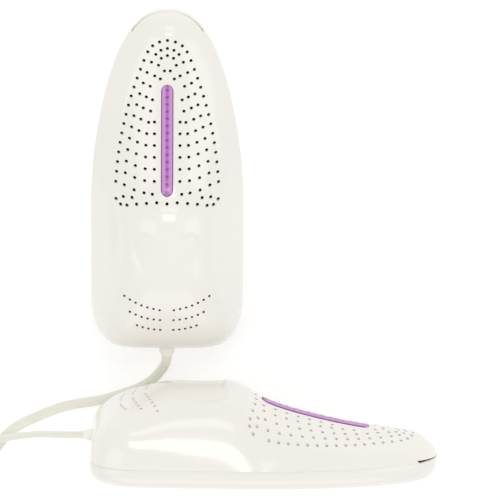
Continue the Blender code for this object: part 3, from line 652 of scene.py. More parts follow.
def vent_places():
    """(along, across, radius) of every vent with across >= 0."""
    places = [(along, across, TOE_VENT_RADIUS) for along, across in CLOSING_ROW + CORNER_VENTS]
    for row in ARCHES:
        for along, across in walk(*row):
            if all(math.hypot(along - a, across - b) > LEAST_GAP for a, b, _ in places):
                places.append((along, across, TOE_VENT_RADIUS))
    low, high, count, across = STRIP_ROW
    places += [(along, across, TOE_VENT_RADIUS) for along in np.linspace(low, high, count)]
    for start, middle, end, count in HEEL_ROWS:
        row = smooth_curve((start, middle, end), count)
        places += [(along, across, HEEL_VENT_RADIUS) for along, across in row]
    return places


HALF_VENTS = vent_places()
VENTS = HALF_VENTS + [(a, -b, r) for a, b, r in HALF_VENTS if b > 1e-6]
print(len(VENTS), "vents in each dryer")

# %% [markdown]
# ## White shell plastic and the violet lens
#
# The shells are glossy warm-white plastic: a pale base with a hardly visible mottle, and a thin clear coat
# for the sharp reflections. The lens is violet and ribbed inside. Its colour is painted darker in even bands
# along the strip, in its middle and at its edges, as painted shade for the depth behind it, and painted
# shade turns its rear end nearly black.

# %% Outer finishes
SHELL_WHITE = plastic("shell_white", (0.870, 0.845, 0.785), (0.856, 0.832, 0.773), rough=0.16, grain=1800,
                      depth=0.0000015, coat=0.35, cloud=14.0, marks=0.03)
SOLE_WHITE = plastic("sole_white", (0.868, 0.843, 0.782), (0.852, 0.828, 0.769), rough=0.18, grain=1800,
                     depth=0.0000015, coat=0.35, cloud=14.0, marks=0.05)
# The inside of both shells is a darker, duller copy of the shell plastic: painted shade, so that the openings
# look dark.
SHELL_INSIDE_SHADE = plastic("shell_inside_shaded", (0.62, 0.58, 0.52), (0.56, 0.52, 0.46), rough=0.55, depth=0.00001)
CORD_CREAM = plastic("cord_cream", (0.82, 0.81, 0.71), (0.79, 0.78, 0.68), rough=0.38, grain=3500,
                     depth=0.000006, cloud=80.0)
PLUG_CREAM = plastic("plug_cream", (0.76, 0.755, 0.66), (0.73, 0.725, 0.63), rough=0.42, grain=3000,
                     depth=0.000012)
# The collar's cream is lighter than the cord's: partly its own paler cream, partly painted light that offsets
# the shade of the heel it lies under.
RELIEF_CREAM_PAINTED_LIGHT = plastic("relief_cream_painted_light", (0.92, 0.905, 0.82), (0.90, 0.885, 0.80), rough=0.35, grain=3000,
                       depth=0.000006)
TIE_WHITE = striped("tie_white", (0.72, 0.72, 0.70), (0.60, 0.60, 0.58), 0.0009, 0.6, "X", 0.5, 0.00005)
PIN_METAL = metal("pin_nickel", (0.80, 0.77, 0.70), (0.66, 0.63, 0.57), 0.22, (40.0, 1.0, 40.0))
PIN_SLEEVE = plastic("pin_sleeve_cream", (0.70, 0.69, 0.62), (0.66, 0.65, 0.58), rough=0.35)
RIB_PITCH = 0.00364
LIGHT_REAR, LIGHT_FRONT, LENS_HALF = 0.0886, 0.1443, 0.00295
# Painted shade on the lens: near black at its rear end, a darker violet in its middle, and a deeper violet in
# the rib bands and at its edges. Its sides keep the lens's own violet.
PER_SHADED_END = 480.0
LENS_SIDE, LENS_CORE_SHADE, LENS_RIB_SHADE = (0.61, 0.27, 0.65), (0.38, 0.115, 0.42), (0.17, 0.035, 0.20)
LENS_END_SHADE, LENS_CLOUD = (0.09, 0.07, 0.10), (0.42, 0.15, 0.46)


def lens_violet():
    material, tree, shader, coords = start_material("lens_violet")
    axes = feed(tree, put(tree, "ShaderNodeSeparateXYZ"), Vector=coords).outputs
    # Painted shade for the depth behind the lens: darker in the rib bands, in the middle and at both edges.
    ribs = place_group(tree, BANDS, Along=axes["X"], Pitch=RIB_PITCH, Share=0.68, Blur=0.35)
    sideways = maths(tree, "DIVIDE", maths(tree, "ABSOLUTE", axes["Y"]), LENS_HALF)
    core_shade = maths(tree, "SUBTRACT", 1.0, at_most_one(tree, maths(tree, "MULTIPLY", sideways, 2.2)))
    edge = at_least_nought(tree, maths(tree, "MULTIPLY_ADD", sideways, 5.0, -4.0))
    deep = at_most_one(tree, maths(tree, "MULTIPLY_ADD", ribs.outputs["Band"], core_shade, edge))
    tint = blend(tree, deep, blend(tree, core_shade, LENS_SIDE, LENS_CORE_SHADE), LENS_RIB_SHADE)
    # Painted shade turns the rear end nearly black, fading within about two millimetres.
    past_rear = maths(tree, "MULTIPLY", maths(tree, "SUBTRACT", axes["X"], LIGHT_REAR), PER_SHADED_END)
    shaded_end = at_least_nought(tree, maths(tree, "SUBTRACT", 1.0, at_most_one(tree, past_rear)))
    tint = blend(tree, shaded_end, tint, LENS_END_SHADE)
    mottle = place_group(tree, MOTTLE, Vector=coords, Colour=tint, Shade=LENS_CLOUD, Cloud_Scale=500.0)
    cloud = maths(tree, "MULTIPLY", mottle.outputs["Cloud"], 0.25)
    cloudy = blend(tree, cloud, tint, mottle.outputs["Colour"])
    feed(tree, shader, Base_Color=cloudy, Coat_Weight=0.3, Coat_Roughness=COAT_ROUGHNESS,
         Roughness=maths(tree, "MULTIPLY_ADD", mottle.outputs["Grain"], 0.1, 0.12))
    bump(tree, shader, ribs.outputs["Wave"], 0.00002)
    return material


LENS_VIOLET = lens_violet()
print("outer finishes:", len(bpy.data.materials))

# %% [markdown]
# ## Top shell
#
# The real shell is one moulding two millimetres thick, open below, with its vents pulled straight up by the
# mould. So here an outer grid and a coarser inner grid are joined round the rim, and one joined cutter makes
# every opening. Cutting breaks smooth shading, so each outer corner takes its normal from the uncut surface.

# %% Grid of the crown
CHAMFER = 0.00015
LENGTHWISE, CROSSWISE, COARSER = 240, 48, 4
HEEL_LIFTS = np.array([0.0, 0.35, 0.7])
SIDE_WALL_SHARE = 1.25
DENT_HALF, DENT_FULL, DENT_END, DENT_SLOPE = 0.0185, 0.068, 0.069, 0.002


def plain_dent(along, sideways):
    """The scoop as the inner face has it: the same depth, with plain straight edges."""
    deepening = ease(along, SCOOP_REAR, DENT_FULL)
    beside = ease(DENT_HALF - np.abs(sideways), 0.0, DENT_SLOPE)
    return SCOOP_DEPTH * deepening * beside * ease(DENT_END - along, 0.0, DENT_SLOPE)


def crown_grid(wall, rim, lengthwise, crosswise, lifts, fine):
    """Rows of points from heel to toe. The first rows climb the flat heel wall by these shares."""
    along = np.concatenate([np.zeros(len(lifts)), stations(lengthwise)[:-1]])
    lift = np.concatenate([lifts, np.ones(lengthwise)])[:, None]
    shares = np.sin(np.pi / 2 * np.arange(-crosswise, crosswise + 1) / crosswise)
    along, across = np.meshgrid(along, shares, indexing="ij")
    rise = (ridge_height(along) - rim) * lift
    x = MIDDLE + (along - MIDDLE) * (MIDDLE - wall) / MIDDLE
    y = drawn_in(half_width(along), SIDE_WALL_SHARE * wall) * across
    z = rim + drawn_in(rise, wall) * arch(along, across)
    pressed = relief(along, y) if fine else plain_dent(along, y)
    return np.stack([x, y, z - np.where(lift < 1, 0.0, pressed)], axis=-1)


print("crown grid:", crown_grid(0.0, SEAM_HEIGHT, 8, 4, HEEL_LIFTS, False).shape, "when coarse")


# %% Skin of the crown
def grid_faces(rows, columns, offset, tip):
    """Faces of a grid whose last row closes on one point, the tip."""
    faces = []
    for i in range(rows - 1):
        for j in range(columns - 1):
            a = offset + i * columns + j
            faces.append((a, a + 1, a + columns + 1, a + columns))
    last = offset + (rows - 1) * columns
    return faces + [(last + j, last + j + 1, tip) for j in range(columns - 1)]


def edge_run(rows, columns, offset, tip, skip):
    """Indices once round the rim: the heel row, one side, the tip and the other side."""
    one = [offset + i * columns + columns - 1 for i in range(skip, rows)]
    other = [offset + i * columns for i in range(skip, rows)]
    return [offset + j for j in range(columns)] + one + [tip] + other[::-1]


def crown_shell():
    """(verts, faces, material indices) of the open shell."""
    rim = SEAM_HEIGHT + CHAMFER
    outer = crown_grid(0.0, rim, LENGTHWISE, CROSSWISE, HEEL_LIFTS, True)
    coarse = LENGTHWISE // COARSER, CROSSWISE // COARSER
    inner = crown_grid(WALL, SEAM_HEIGHT, *coarse, HEEL_LIFTS[:1], False)
    verts = [tuple(p) for p in outer.reshape(-1, 3)] + [(LENGTH, 0.0, rim)]
    rows, columns = outer.shape[:2]
    tip = len(verts) - 1
    faces = grid_faces(rows, columns, 0, tip)
    rim_out = edge_run(rows, columns, 0, tip, len(HEEL_LIFTS) + 1)
    start = len(verts)
    for k in rim_out:
        x, y, _ = verts[k]
        reach = math.hypot(x - MIDDLE, y)
        shrink = 1 - CHAMFER / reach
        verts.append((MIDDLE + (x - MIDDLE) * shrink, y * shrink, SEAM_HEIGHT))
    lip = list(range(start, len(verts)))
    count = len(lip)
    faces += [(rim_out[k], rim_out[(k + 1) % count], lip[(k + 1) % count], lip[k]) for k in range(count)]
    outside = len(faces)
    start = len(verts)
    verts += [tuple(p) for p in inner.reshape(-1, 3)] + [(LENGTH - WALL, 0.0, SEAM_HEIGHT)]
    tip = len(verts) - 1
    faces += grid_faces(inner.shape[0], inner.shape[1], start, tip)
    rim_in = edge_run(inner.shape[0], inner.shape[1], start, tip, 2)
    for k in range(len(rim_in)):
        near = [lip[(COARSER * k + step) % count] for step in range(COARSER + 1)]
        faces.append(tuple(near) + (rim_in[(k + 1) % len(rim_in)], rim_in[k]))
    return verts, faces, [0] * outside + [1] * (len(faces) - outside)


print("crown shell:", len(crown_shell()[1]), "faces before cutting")


# %% Closed meshes and cutters
def closed_mesh(name, verts, faces, indices):
    """A mesh with doubled points merged and its faces turned outwards."""
    mesh = bpy.data.meshes.new(name)
    mesh.from_pydata(verts, [], faces)
    mesh.polygons.foreach_set("material_index", indices)
    shape = bmesh.new()
    shape.from_mesh(mesh)
    bmesh.ops.remove_doubles(shape, verts=shape.verts, dist=2e-6)
    bmesh.ops.dissolve_degenerate(shape, edges=shape.edges, dist=1e-7)
    bmesh.ops.recalc_face_normals(shape, faces=shape.faces)
    open_edges = sum(not edge.is_manifold for edge in shape.edges)
    shape.to_mesh(mesh)
    shape.free()
    mesh.polygons.foreach_set("use_smooth", [True] * len(mesh.polygons))
    print(f"{name}: {len(mesh.polygons)} faces, {open_edges} open edges")
    return mesh


def prism(outline, low, high, axis="Z"):
    """A closed prism over an outline in the other two directions."""
    order = {"Z": (0, 1, 2), "X": (2, 0, 1)}[axis]
    rows = [[tuple((*p, level)[k] for k in order) for p in outline] for level in (low, high)]
    return skin(rows)


def ring(centre, radii, steps):
    angles = 2 * np.pi * np.arange(steps) / steps
    return [(centre[0] + radii[0] * math.cos(a), centre[1] + radii[1] * math.sin(a)) for a in angles]


def stadium(start, end, radius, steps=14):
    """A slot outline with round ends."""
    right = [(end - radius + radius * math.cos(a), radius * math.sin(a))
             for a in np.linspace(-math.pi / 2, math.pi / 2, steps)]
    left = [(start + radius + radius * math.cos(a), radius * math.sin(a))
            for a in np.linspace(math.pi / 2, 3 * math.pi / 2, steps)]
    return right + left


def joined(solids):
    verts, faces = [], []
    for part_verts, part_faces in solids:
        faces += [tuple(k + len(verts) for k in face) for face in part_faces]
        verts += part_verts
    return verts, faces


def cut(mesh, solids, name, outside):
    """The mesh with all the solids taken out of it at once."""
    verts, faces = joined(solids)
    tool = closed_mesh(f"{name}_openings", verts, faces, [2] * len(faces))
    target, cutter = add_object(name, mesh), add_object(f"{name}_cutter", tool)
    for thing in (target, cutter):
        # Slots: the outside finish, the inside's darker plastic of painted shade, and the outside finish on
        # the walls.
        for material in (outside, SHELL_INSIDE_SHADE, outside):
            thing.data.materials.append(material)
    step = target.modifiers.new("openings", "BOOLEAN")
    step.object = cutter
    step.solver = "EXACT"
    bpy.context.view_layer.update()
    result = bpy.data.meshes.new_from_object(target.evaluated_get(bpy.context.evaluated_depsgraph_get()))
    for thing in (target, cutter):
        bpy.data.objects.remove(thing)
    print(f"{name}: {len(result.polygons)} faces after {len(solids)} openings")
    return result


print("a vent's cutter has", len(prism(ring((0, 0), (1, 1), 14), 0, 1)[1]), "faces")

# %% Smooth shading after a cut
LEAST_AGREEMENT = 0.2


def shade_from(cut_mesh, whole):
    """Gives each outside corner the normal that the uncut surface has there."""
    outside = [p for p in whole.polygons if p.material_index == 0]
    tree = BVHTree.FromPolygons([v.co for v in whole.vertices], [tuple(p.vertices) for p in outside])
    normals = [v.normal.copy() for v in whole.vertices]
    found = {}
    shading = [None] * len(cut_mesh.loops)
    for polygon in cut_mesh.polygons:
        for k in polygon.loop_indices:
            if polygon.material_index != 0:
                shading[k] = polygon.normal.copy()
                continue
            index = cut_mesh.loops[k].vertex_index
            if index not in found:
                place, _, face, _ = tree.find_nearest(cut_mesh.vertices[index].co)
                corners = outside[face].vertices
                shares = [1 / ((whole.vertices[c].co - place).length + 1e-6) ** 2 for c in corners]
                mean = sum((normals[c] * w for c, w in zip(corners, shares)), Vector())
                found[index] = mean.normalized()
            agrees = found[index].dot(polygon.normal) > LEAST_AGREEMENT
            shading[k] = found[index] if agrees else polygon.normal.copy()
    cut_mesh.polygons.foreach_set("use_smooth", [True] * len(cut_mesh.polygons))
    cut_mesh.normals_split_custom_set(shading)


def add_pair(name, mesh, slot, part):
    """One mesh put down twice, once on each dryer."""
    for side in SIDES:
        settle(add_object(f"{name}_{side}", mesh, PLACES[side]), slot, f"{part}_{side}")


print("a corner keeps its flat shading when the uncut normal agrees by less than", LEAST_AGREEMENT)

# %% [markdown]
# ## Openings in the shell
#
# The toe slot lies across the parting line, thin at the toe and higher at its ends, so each half of the shell
# has a part of it. The vents are round holes along the mould's pull. The strip's slot is a little larger than
# the lens, which leaves the fine dark line round it, and the heel has an oval hole for the cord.

# %% Openings
TOE_SLOT_START, TOE_SLOT_HALF = 0.168, 0.0184
SLOT_UP, SLOT_DOWN, SLOT_LEAST = 0.0009, 0.0004, 0.00015
SLOT_POWER, SLOT_REACH = 1.5, 0.004
PAST = 0.001
VENT_SIDES, VENT_UNDER, VENT_OVER = 14, 0.0085, 0.004
LENS_GAP = 0.0002
STRIP_CUT_LOW, STRIP_CUT_HIGH = 0.016, 0.058
OUTLET_HEIGHT = 0.018
OUTLET_RADII = (0.0042, 0.0034)
OUTLET_REAR, OUTLET_FRONT = -0.004, 0.008


def toe_slot(height, past):
    """The toe slot's part above (height > 0) or below (height < 0) the parting line."""
    across = np.linspace(-TOE_SLOT_HALF, TOE_SLOT_HALF, 25)
    least = math.copysign(SLOT_LEAST, height)
    edge = SEAM_HEIGHT + least + (height - least) * (np.abs(across) / TOE_SLOT_HALF) ** SLOT_POWER
    outline = [(y, z) for y, z in zip(across, edge)] + [(TOE_SLOT_HALF, past), (-TOE_SLOT_HALF, past)]
    return prism(outline, TOE_SLOT_START, LENGTH + SLOT_REACH, "X")


def shell_openings():
    solids = [toe_slot(SLOT_UP, SEAM_HEIGHT - PAST)]
    for along, across, radius in VENTS:
        top = SEAM_HEIGHT + (ridge_height(along) - SEAM_HEIGHT) * arch(along, across / half_width(along))
        hole = ring((along, across), (radius, radius), VENT_SIDES)
        solids.append(prism(hole, top - VENT_UNDER, top + VENT_OVER))
    strip = stadium(LIGHT_REAR - LENS_GAP, LIGHT_FRONT + LENS_GAP, LENS_HALF + LENS_GAP)
    solids.append(prism(strip, STRIP_CUT_LOW, STRIP_CUT_HIGH))
    solids.append(prism(ring((0.0, OUTLET_HEIGHT), OUTLET_RADII, 32), OUTLET_REAR, OUTLET_FRONT, "X"))
    return solids


WHOLE_CROWN = closed_mesh("whole_crown", *crown_shell())
CROWN = cut(WHOLE_CROWN.copy(), shell_openings(), "crown", SHELL_WHITE)
shade_from(CROWN, WHOLE_CROWN)
add_pair("crown_shell", CROWN, "shell_top", "top_shell")

# %% [markdown]
# ## Sole shell
#
# The lower half is a shallow tray with a rounded edge under it. Rings of the same outline, each drawn in a
# little more, give the wall, the rounded edge, the flat underside and the inside. Four recesses take the
# screws. A small chamfer on both halves draws the hair-thin parting line.

# %% Sole shell
SOLE_CORNER = 0.008
TOE_CORNER_SHARE = 0.65
FLOOR_INSET, INNER_CORNER = 0.0015, 0.007
SCREW_STEPS = ((0.0031, -0.002), (0.0031, 0.0028), (0.0018, 0.0028), (0.0018, 0.006))
SCREW_PLACES = ((0.020, 0.027), (0.020, -0.027), (0.096, 0.031), (0.096, -0.031))


def outline_ring(inset, level, count=150):
    """The dryer's outline at one level, drawn in by an inset that is smaller at the toe."""
    along = stations(count)
    reach = np.where(along < MIDDLE, inset, TOE_CORNER_SHARE * inset)
    x = MIDDLE + (along - MIDDLE) * (MIDDLE - reach) / MIDDLE
    y = half_width(along) * (HALF_WIDTH - inset) / HALF_WIDTH
    right = [(a, b, level) for a, b in zip(x, y)]
    return right + [(a, -b, level) for a, b, _ in reversed(right[:-1])]


def sole_shell():
    angles = np.linspace(0, math.pi / 2, 12)
    rows = [outline_ring(SOLE_CORNER + FLOOR_INSET, 0.0)]
    rows += [outline_ring(SOLE_CORNER * (1 - math.sin(a)), SOLE_CORNER * (1 - math.cos(a))) for a in angles]
    rows += [outline_ring(0.0, SEAM_HEIGHT - CHAMFER), outline_ring(CHAMFER, SEAM_HEIGHT)]
    outside = (len(rows) - 1) * len(rows[0])
    rows += [outline_ring(WALL, SEAM_HEIGHT), outline_ring(WALL, SOLE_CORNER)]
    rows += [outline_ring(INNER_CORNER, WALL)]
    verts, faces = skin(rows)
    indices = [0] * outside + [1] * (len(faces) - outside)
    indices[-2] = 0  # the first cap is the underside
    return verts, faces, indices


def sole_openings():
    solids = [toe_slot(-SLOT_DOWN, SEAM_HEIGHT + PAST)]
    for place in SCREW_PLACES:
        rows = [[(*p, level) for p in ring(place, (r, r), 28)] for r, level in SCREW_STEPS]
        solids.append(skin(rows))
    return solids


WHOLE_SOLE = closed_mesh("whole_sole", *sole_shell())
SOLE = cut(WHOLE_SOLE.copy(), sole_openings(), "sole", SOLE_WHITE)
shade_from(SOLE, WHOLE_SOLE)
add_pair("sole_tray", SOLE, "shell_sole", "sole_shell")

# %% [markdown]
# ## Light strip and cord relief
#
# The lens follows the ridge, stands a little proud and has round ends and a crowned top. Low cross ribs match
# the painted shade in even bands of its colour. The relief is an oval collar with a step, where the flat cord
# comes out. A bevelled curve would make both as round as tubes, so each is a loft through sections of its
# own.

# %% Light strip
STRIP_ROWS = 180
STRIP_EDGE_DROP, STRIP_CROWN, STRIP_ROOT = 0.0005, 0.0010, 0.0028
RIB_HEIGHT = 0.00003


def light_strip(side):
    rows = []
    half_length = (LIGHT_FRONT - LIGHT_REAR) / 2
    middle = (LIGHT_FRONT + LIGHT_REAR) / 2
    for i in range(STRIP_ROWS + 1):
        share = -math.cos(math.pi * i / STRIP_ROWS)
        x = middle + half_length * share
        from_end = min(half_length * (1 - abs(share)), LENS_HALF)
        half = max(math.sqrt(max(LENS_HALF**2 - (LENS_HALF - from_end) ** 2, 0.0)), 1e-5)
        base = float(ridge_height(x))
        crown = STRIP_CROWN + RIB_HEIGHT * math.cos(2 * math.pi * x / RIB_PITCH)
        row = [(x, half * math.cos(turn), base - STRIP_EDGE_DROP + crown * math.sin(turn) ** 0.7)
               for turn in np.linspace(0, math.pi, 15)]
        rows.append(row + [(x, -half, base - STRIP_ROOT), (x, half, base - STRIP_ROOT)])
    lens = face_out(new_piece(f"light_strip_{side}", *skin(rows), [LENS_VIOLET], PLACES[side]))
    settle(lens, "lens", f"light_lens_{side}")


for side in SIDES:
    light_strip(side)


# %% Cord relief
def bulged(value, root):
    return math.copysign(abs(value) ** root, value)


def oval(place, half_wide, half_thick, steps=32, power=2.4):
    """A superellipse ring across the X direction, at a place along it."""
    angles = [2 * math.pi * k / steps for k in range(steps)]
    return [(place, half_wide * bulged(math.cos(a), 2 / power), half_thick * bulged(math.sin(a), 2 / power))
            for a in angles]


# Each section of the collar: its place along the dryer, half width and half thickness.
RELIEF_SECTIONS = (
    (0.0120, 0.0036, 0.0028), (0.0100, 0.0040, 0.0030), (0.0004, 0.0040, 0.0030),
    (-0.0002, 0.0040, 0.0027), (-0.0016, 0.0039, 0.0025), (-0.0022, 0.0038, 0.0024),
    (-0.0025, 0.0035, 0.0022), (-0.0028, 0.0034, 0.0021), (-0.0034, 0.0032, 0.0020),
    (-0.0038, 0.0030, 0.0019), (-0.0040, 0.0027, 0.0017),
)
for side in SIDES:
    rows = [[(x, y, z + OUTLET_HEIGHT) for x, y, z in oval(*section)] for section in RELIEF_SECTIONS]
    # The collar's cream carries painted light against the heel's shade.
    collar = face_out(new_piece(f"cord_relief_{side}", *skin(rows), [RELIEF_CREAM_PAINTED_LIGHT], PLACES[side]))
    settle(collar, "relief", f"strain_relief_{side}")

# %% [markdown]
# ## The flat cord
#
# Flat twin flex is an oval sheath round two cores, 5.2 by 3.2 mm. Each dryer has a short branch, and the two
# meet in a moulded splitter. The mains lead then goes to a neat coil with a tie and ends in a flat plug. A
# sweep keeps the sheath's flat side where it should be: level on the table, upright where a cord leaves
# the dryer on its flank, and upright in the coil. A curve object twists freely, so the sweep is done here.

# %% Cord sweep
CORD_WIDTH, CORD_THICKNESS, CORD_LEVEL = 0.0052, 0.0032, 0.0018
CORD_SIDES, CORD_BULGE = 20, 0.86
GROOVE_DEPTH, GROOVE_HALF = 0.07, 0.22


def on_table(points):
    """Route points, which are measured from the layout's corner, in the frame's own place."""
    return np.array([tuple(Vector(p) - LAYOUT_CENTRE) for p in points])


def cord_section():
    """The sheath across its run: a flat oval with a shallow groove between its two cores."""
    section = []
    for k in range(CORD_SIDES):
        c, s = (part(2 * math.pi * k / CORD_SIDES) for part in (math.cos, math.sin))
        groove = 1 - GROOVE_DEPTH * math.exp(-((c / GROOVE_HALF) ** 2))
        section.append((CORD_WIDTH / 2 * bulged(c, CORD_BULGE),
                        CORD_THICKNESS / 2 * bulged(s, CORD_BULGE) * groove))
    return section


def flat_cord(name, path, flats):
    """The sheath swept along a path; flats gives the thin direction at each point."""
    section = cord_section()
    tangents = np.gradient(path, axis=0)
    tangents /= np.linalg.norm(tangents, axis=1)[:, None]
    rows = []
    for place, tangent, flat in zip(path, tangents, flats):
        thin = flat - tangent * np.dot(flat, tangent)
        thin /= np.linalg.norm(thin)
        wide = np.cross(tangent, thin)
        rows.append([tuple(place + wide * a + thin * b) for a, b in section])
    return face_out(new_piece(name, *skin(rows), [CORD_CREAM]))


def turned_flats(path, start, end, low, high):
    """Thin directions that turn from one to another between two shares of the run."""
    share = ease(np.linspace(0, 1, len(path)), low, high)[:, None]
    return np.array(start) * (1 - share) + np.array(end) * share


print("cord section:", len(cord_section()), "points")

# %% Branch routes
LEFT_BRANCH = (
    (0.0000, 0.0554, 0.0180), (-0.0001, 0.0532, 0.0178), (-0.0029, 0.0450, 0.0127),
    (-0.0075, 0.0381, 0.0070), (-0.0138, 0.0328, 0.0036), (-0.0216, 0.0292, 0.0021),
    (-0.0351, 0.0250, 0.0018), (-0.0523, 0.0219, 0.0018), (-0.0616, 0.0186, 0.0018),
    (-0.0710, 0.0145, 0.0018), (-0.0780, 0.0107, 0.0018), (-0.0835, 0.0062, 0.0018),
    (-0.0885, -0.0002, 0.0018), (-0.0955, -0.0085, 0.0018), (-0.1120, -0.0170, 0.0018),
    (-0.1350, -0.0190, 0.0018), (-0.1580, -0.0125, 0.0018), (-0.1740, -0.0010, 0.0022),
    (-0.1820, 0.0048, 0.0034), (-0.1880, 0.0064, 0.0038), (-0.1904, 0.0065, 0.0038),
)
RIGHT_BRANCH = (
    (-0.0427, 0.0180, 0.0394), (-0.0500, 0.0177, 0.0387), (-0.0590, 0.0166, 0.0345),
    (-0.0670, 0.0143, 0.0270), (-0.0740, 0.0113, 0.0195), (-0.0800, 0.0087, 0.0135),
    (-0.0866, 0.0059, 0.0085), (-0.0960, 0.0040, 0.0045), (-0.1050, 0.0085, 0.0020),
    (-0.1150, 0.0230, 0.0018), (-0.1280, 0.0440, 0.0019), (-0.1450, 0.0520, 0.0018),
    (-0.1620, 0.0470, 0.0018), (-0.1730, 0.0340, 0.0020), (-0.1805, 0.0224, 0.0034),
    (-0.1874, 0.0177, 0.0038), (-0.1904, 0.0175, 0.0038),
)
# For each branch: its route and points, the thin direction at its ends, and the shares where it turns.
BRANCHES = {
    "left": (LEFT_BRANCH, 150, (0, 0, 1), (0, 0, 1), 0.0, 1.0),
    "right": (RIGHT_BRANCH, 140, (0, 1, 0), (0, 0, 1), 0.16, 0.45),
}


def add_branch(side):
    route, count, start, end, low, high = BRANCHES[side]
    path = smooth_curve(on_table(route), count)
    path[:, 2] = np.maximum(path[:, 2], CORD_LEVEL)
    piece = flat_cord(f"branch_{side}", path, turned_flats(path, start, end, low, high))
    settle(piece, "cord", f"branch_cord_{side}")
    print(f"branch_{side} is {run_length(path):.3f} m long")
    return piece, path


print("routes:", len(LEFT_BRANCH), "and", len(RIGHT_BRANCH), "points to the splitter")

# %% [markdown]
# ## Splitter and plug
#
# The splitter and the plug are soft mouldings. Each is a loft of rounded sections along its run, with ribs
# where the cord needs to bend. Boxes with bevels would look too hard. The plug's pins keep their engineering
# shape and get a sleeve.


# %% Splitter
def moulding(name, sections, steps, power, matrix, material):
    """A loft along X through (place, half width, half thickness) sections."""
    rows = [oval(x, max(w, 1e-4), max(t, 1e-4), 40, power) for x, w, t in smooth_curve(sections, steps)]
    return face_out(new_piece(name, *skin(rows), [material], matrix))


SPLITTER_PLACE = Vector((-0.2030, 0.0120, 0.0038))
SPLITTER_SECTIONS = (
    (0.0120, 0.0086, 0.0028), (0.0117, 0.0096, 0.0033), (0.0100, 0.0102, 0.0036),
    (0.0070, 0.0100, 0.0036), (0.0030, 0.0086, 0.0036), (-0.0010, 0.0066, 0.0035),
    (-0.0050, 0.0048, 0.0033), (-0.0070, 0.0042, 0.0031), (-0.0080, 0.0036, 0.0026),
    (-0.0088, 0.0041, 0.0030), (-0.0096, 0.0035, 0.0025), (-0.0104, 0.0040, 0.0029),
    (-0.0112, 0.0034, 0.0024), (-0.0118, 0.0036, 0.0026), (-0.0120, 0.0030, 0.0020),
)
splitter = moulding("cord_splitter", SPLITTER_SECTIONS, 90, 3.0,
                    Matrix.Translation(SPLITTER_PLACE - LAYOUT_CENTRE), PLUG_CREAM)
settle(splitter, "plug", "y_splitter")

# %% Branches
for side in SIDES:
    branch, path = add_branch(side)

# %% Plug
SLEEVE_OVERLAP = 0.0002
PLUG_BACK = Vector((-0.189, 0.1423, 0.0072))
NECK_LENGTH, BODY_END = 0.020, 0.056
NECK_RIB_STEP, NECK_RIB = 0.0012, 0.00045
NECK_HALF_WIDTH, NECK_HALF_THICK, NECK_GROWTH = 0.0031, 0.0026, 0.0018
PIN_SPACING = 0.0186
SLEEVE_SECTIONS = ((0.0, 0.00215), (0.0088, 0.00212), (0.0092, 0.00206), (0.0093, 0.00190))
PLUG_MATRIX = Matrix.Translation(PLUG_BACK - LAYOUT_CENTRE) @ Matrix.Rotation(math.pi / 2, 4, "Z")


def plug_sections():
    neck = []
    for k, place in enumerate(np.arange(0.0, NECK_LENGTH - 0.002, NECK_RIB_STEP)):
        more = NECK_GROWTH * place / NECK_LENGTH + (NECK_RIB if k % 2 else 0.0)
        neck.append((place, NECK_HALF_WIDTH + more, NECK_HALF_THICK + more))
    body = [
        (0.0200, 0.0056, 0.0050), (0.0235, 0.0072, 0.0060), (0.0290, 0.0105, 0.0066),
        (0.0345, 0.0143, 0.0062), (0.0400, 0.0170, 0.0061), (0.0440, 0.01765, 0.0064),
        (0.0490, 0.01765, 0.00685), (0.0540, 0.01765, 0.00685), (0.0554, 0.0174, 0.0067),
        (BODY_END, 0.0166, 0.0060),
    ]
    return neck + body


plug = moulding("plug_moulding", plug_sections(), 150, 3.2, PLUG_MATRIX, PLUG_CREAM)
settle(plug, "plug", "plug_body")
for number, across in ((1, 1), (2, -1)):
    rows = [[(BODY_END - SLEEVE_OVERLAP + place, across * PIN_SPACING / 2 + y, z)
             for _, y, z in oval(0, radius, radius, 28, 2.0)] for place, radius in SLEEVE_SECTIONS]
    sleeve = face_out(new_piece(f"pin_sleeve_{number}", *skin(rows), [PIN_SLEEVE], PLUG_MATRIX))
    settle(sleeve, "plug")

# %% [markdown]
# ## Mains lead and coil
#
# The lead's spare length is wound as it would be on a shelf: three turns side by side, a step up, and three
# more on top, each turn upright against the next. All of it is one path, so the sheath stays one piece. A
# ring with a bevel would close on itself, where a real coil steps from turn to turn.

# %% Mains lead
MAIN_ROUTE = (
    (-0.2154, 0.0120, 0.0038), (-0.2240, 0.0132, 0.0028), (-0.2350, 0.0205, 0.0018),
    (-0.2400, 0.0330, 0.0018), (-0.2360, 0.0490, 0.0018), (-0.2240, 0.0630, 0.0018),
    (-0.2070, 0.0740, 0.0022), (-0.1940, 0.0870, 0.0030), (-0.1850, 0.1000, 0.0036),
)
PLUG_ROUTE = ((-0.1832, 0.1200, 0.0092), (-0.1862, 0.1300, 0.0082), (-0.1890, 0.1415, 0.0072))
COIL_CENTRE = Vector((-0.150, 0.112, 0.0066))
COIL_RADIUS = 0.029
TURN_STEP = 0.0035
LAYER_STEP = 0.0054
TURNS, POINTS_PER_TURN = 6, 48
# Turns that end with a step inwards (-1) or outwards (1), and the part of the turn where they do.
TURN_SHIFTS = ((0, -1), (1, -1), (3, 1), (4, 1))
SHIFT_FROM, SHIFT_TO = 0.72, 0.90
CLIMB_FROM, CLIMB_TO = 2.90, 3.08
SAG, SAG_SPREAD = 0.0009, 0.05
TWIST_POINTS, END_POINTS = 26, 4


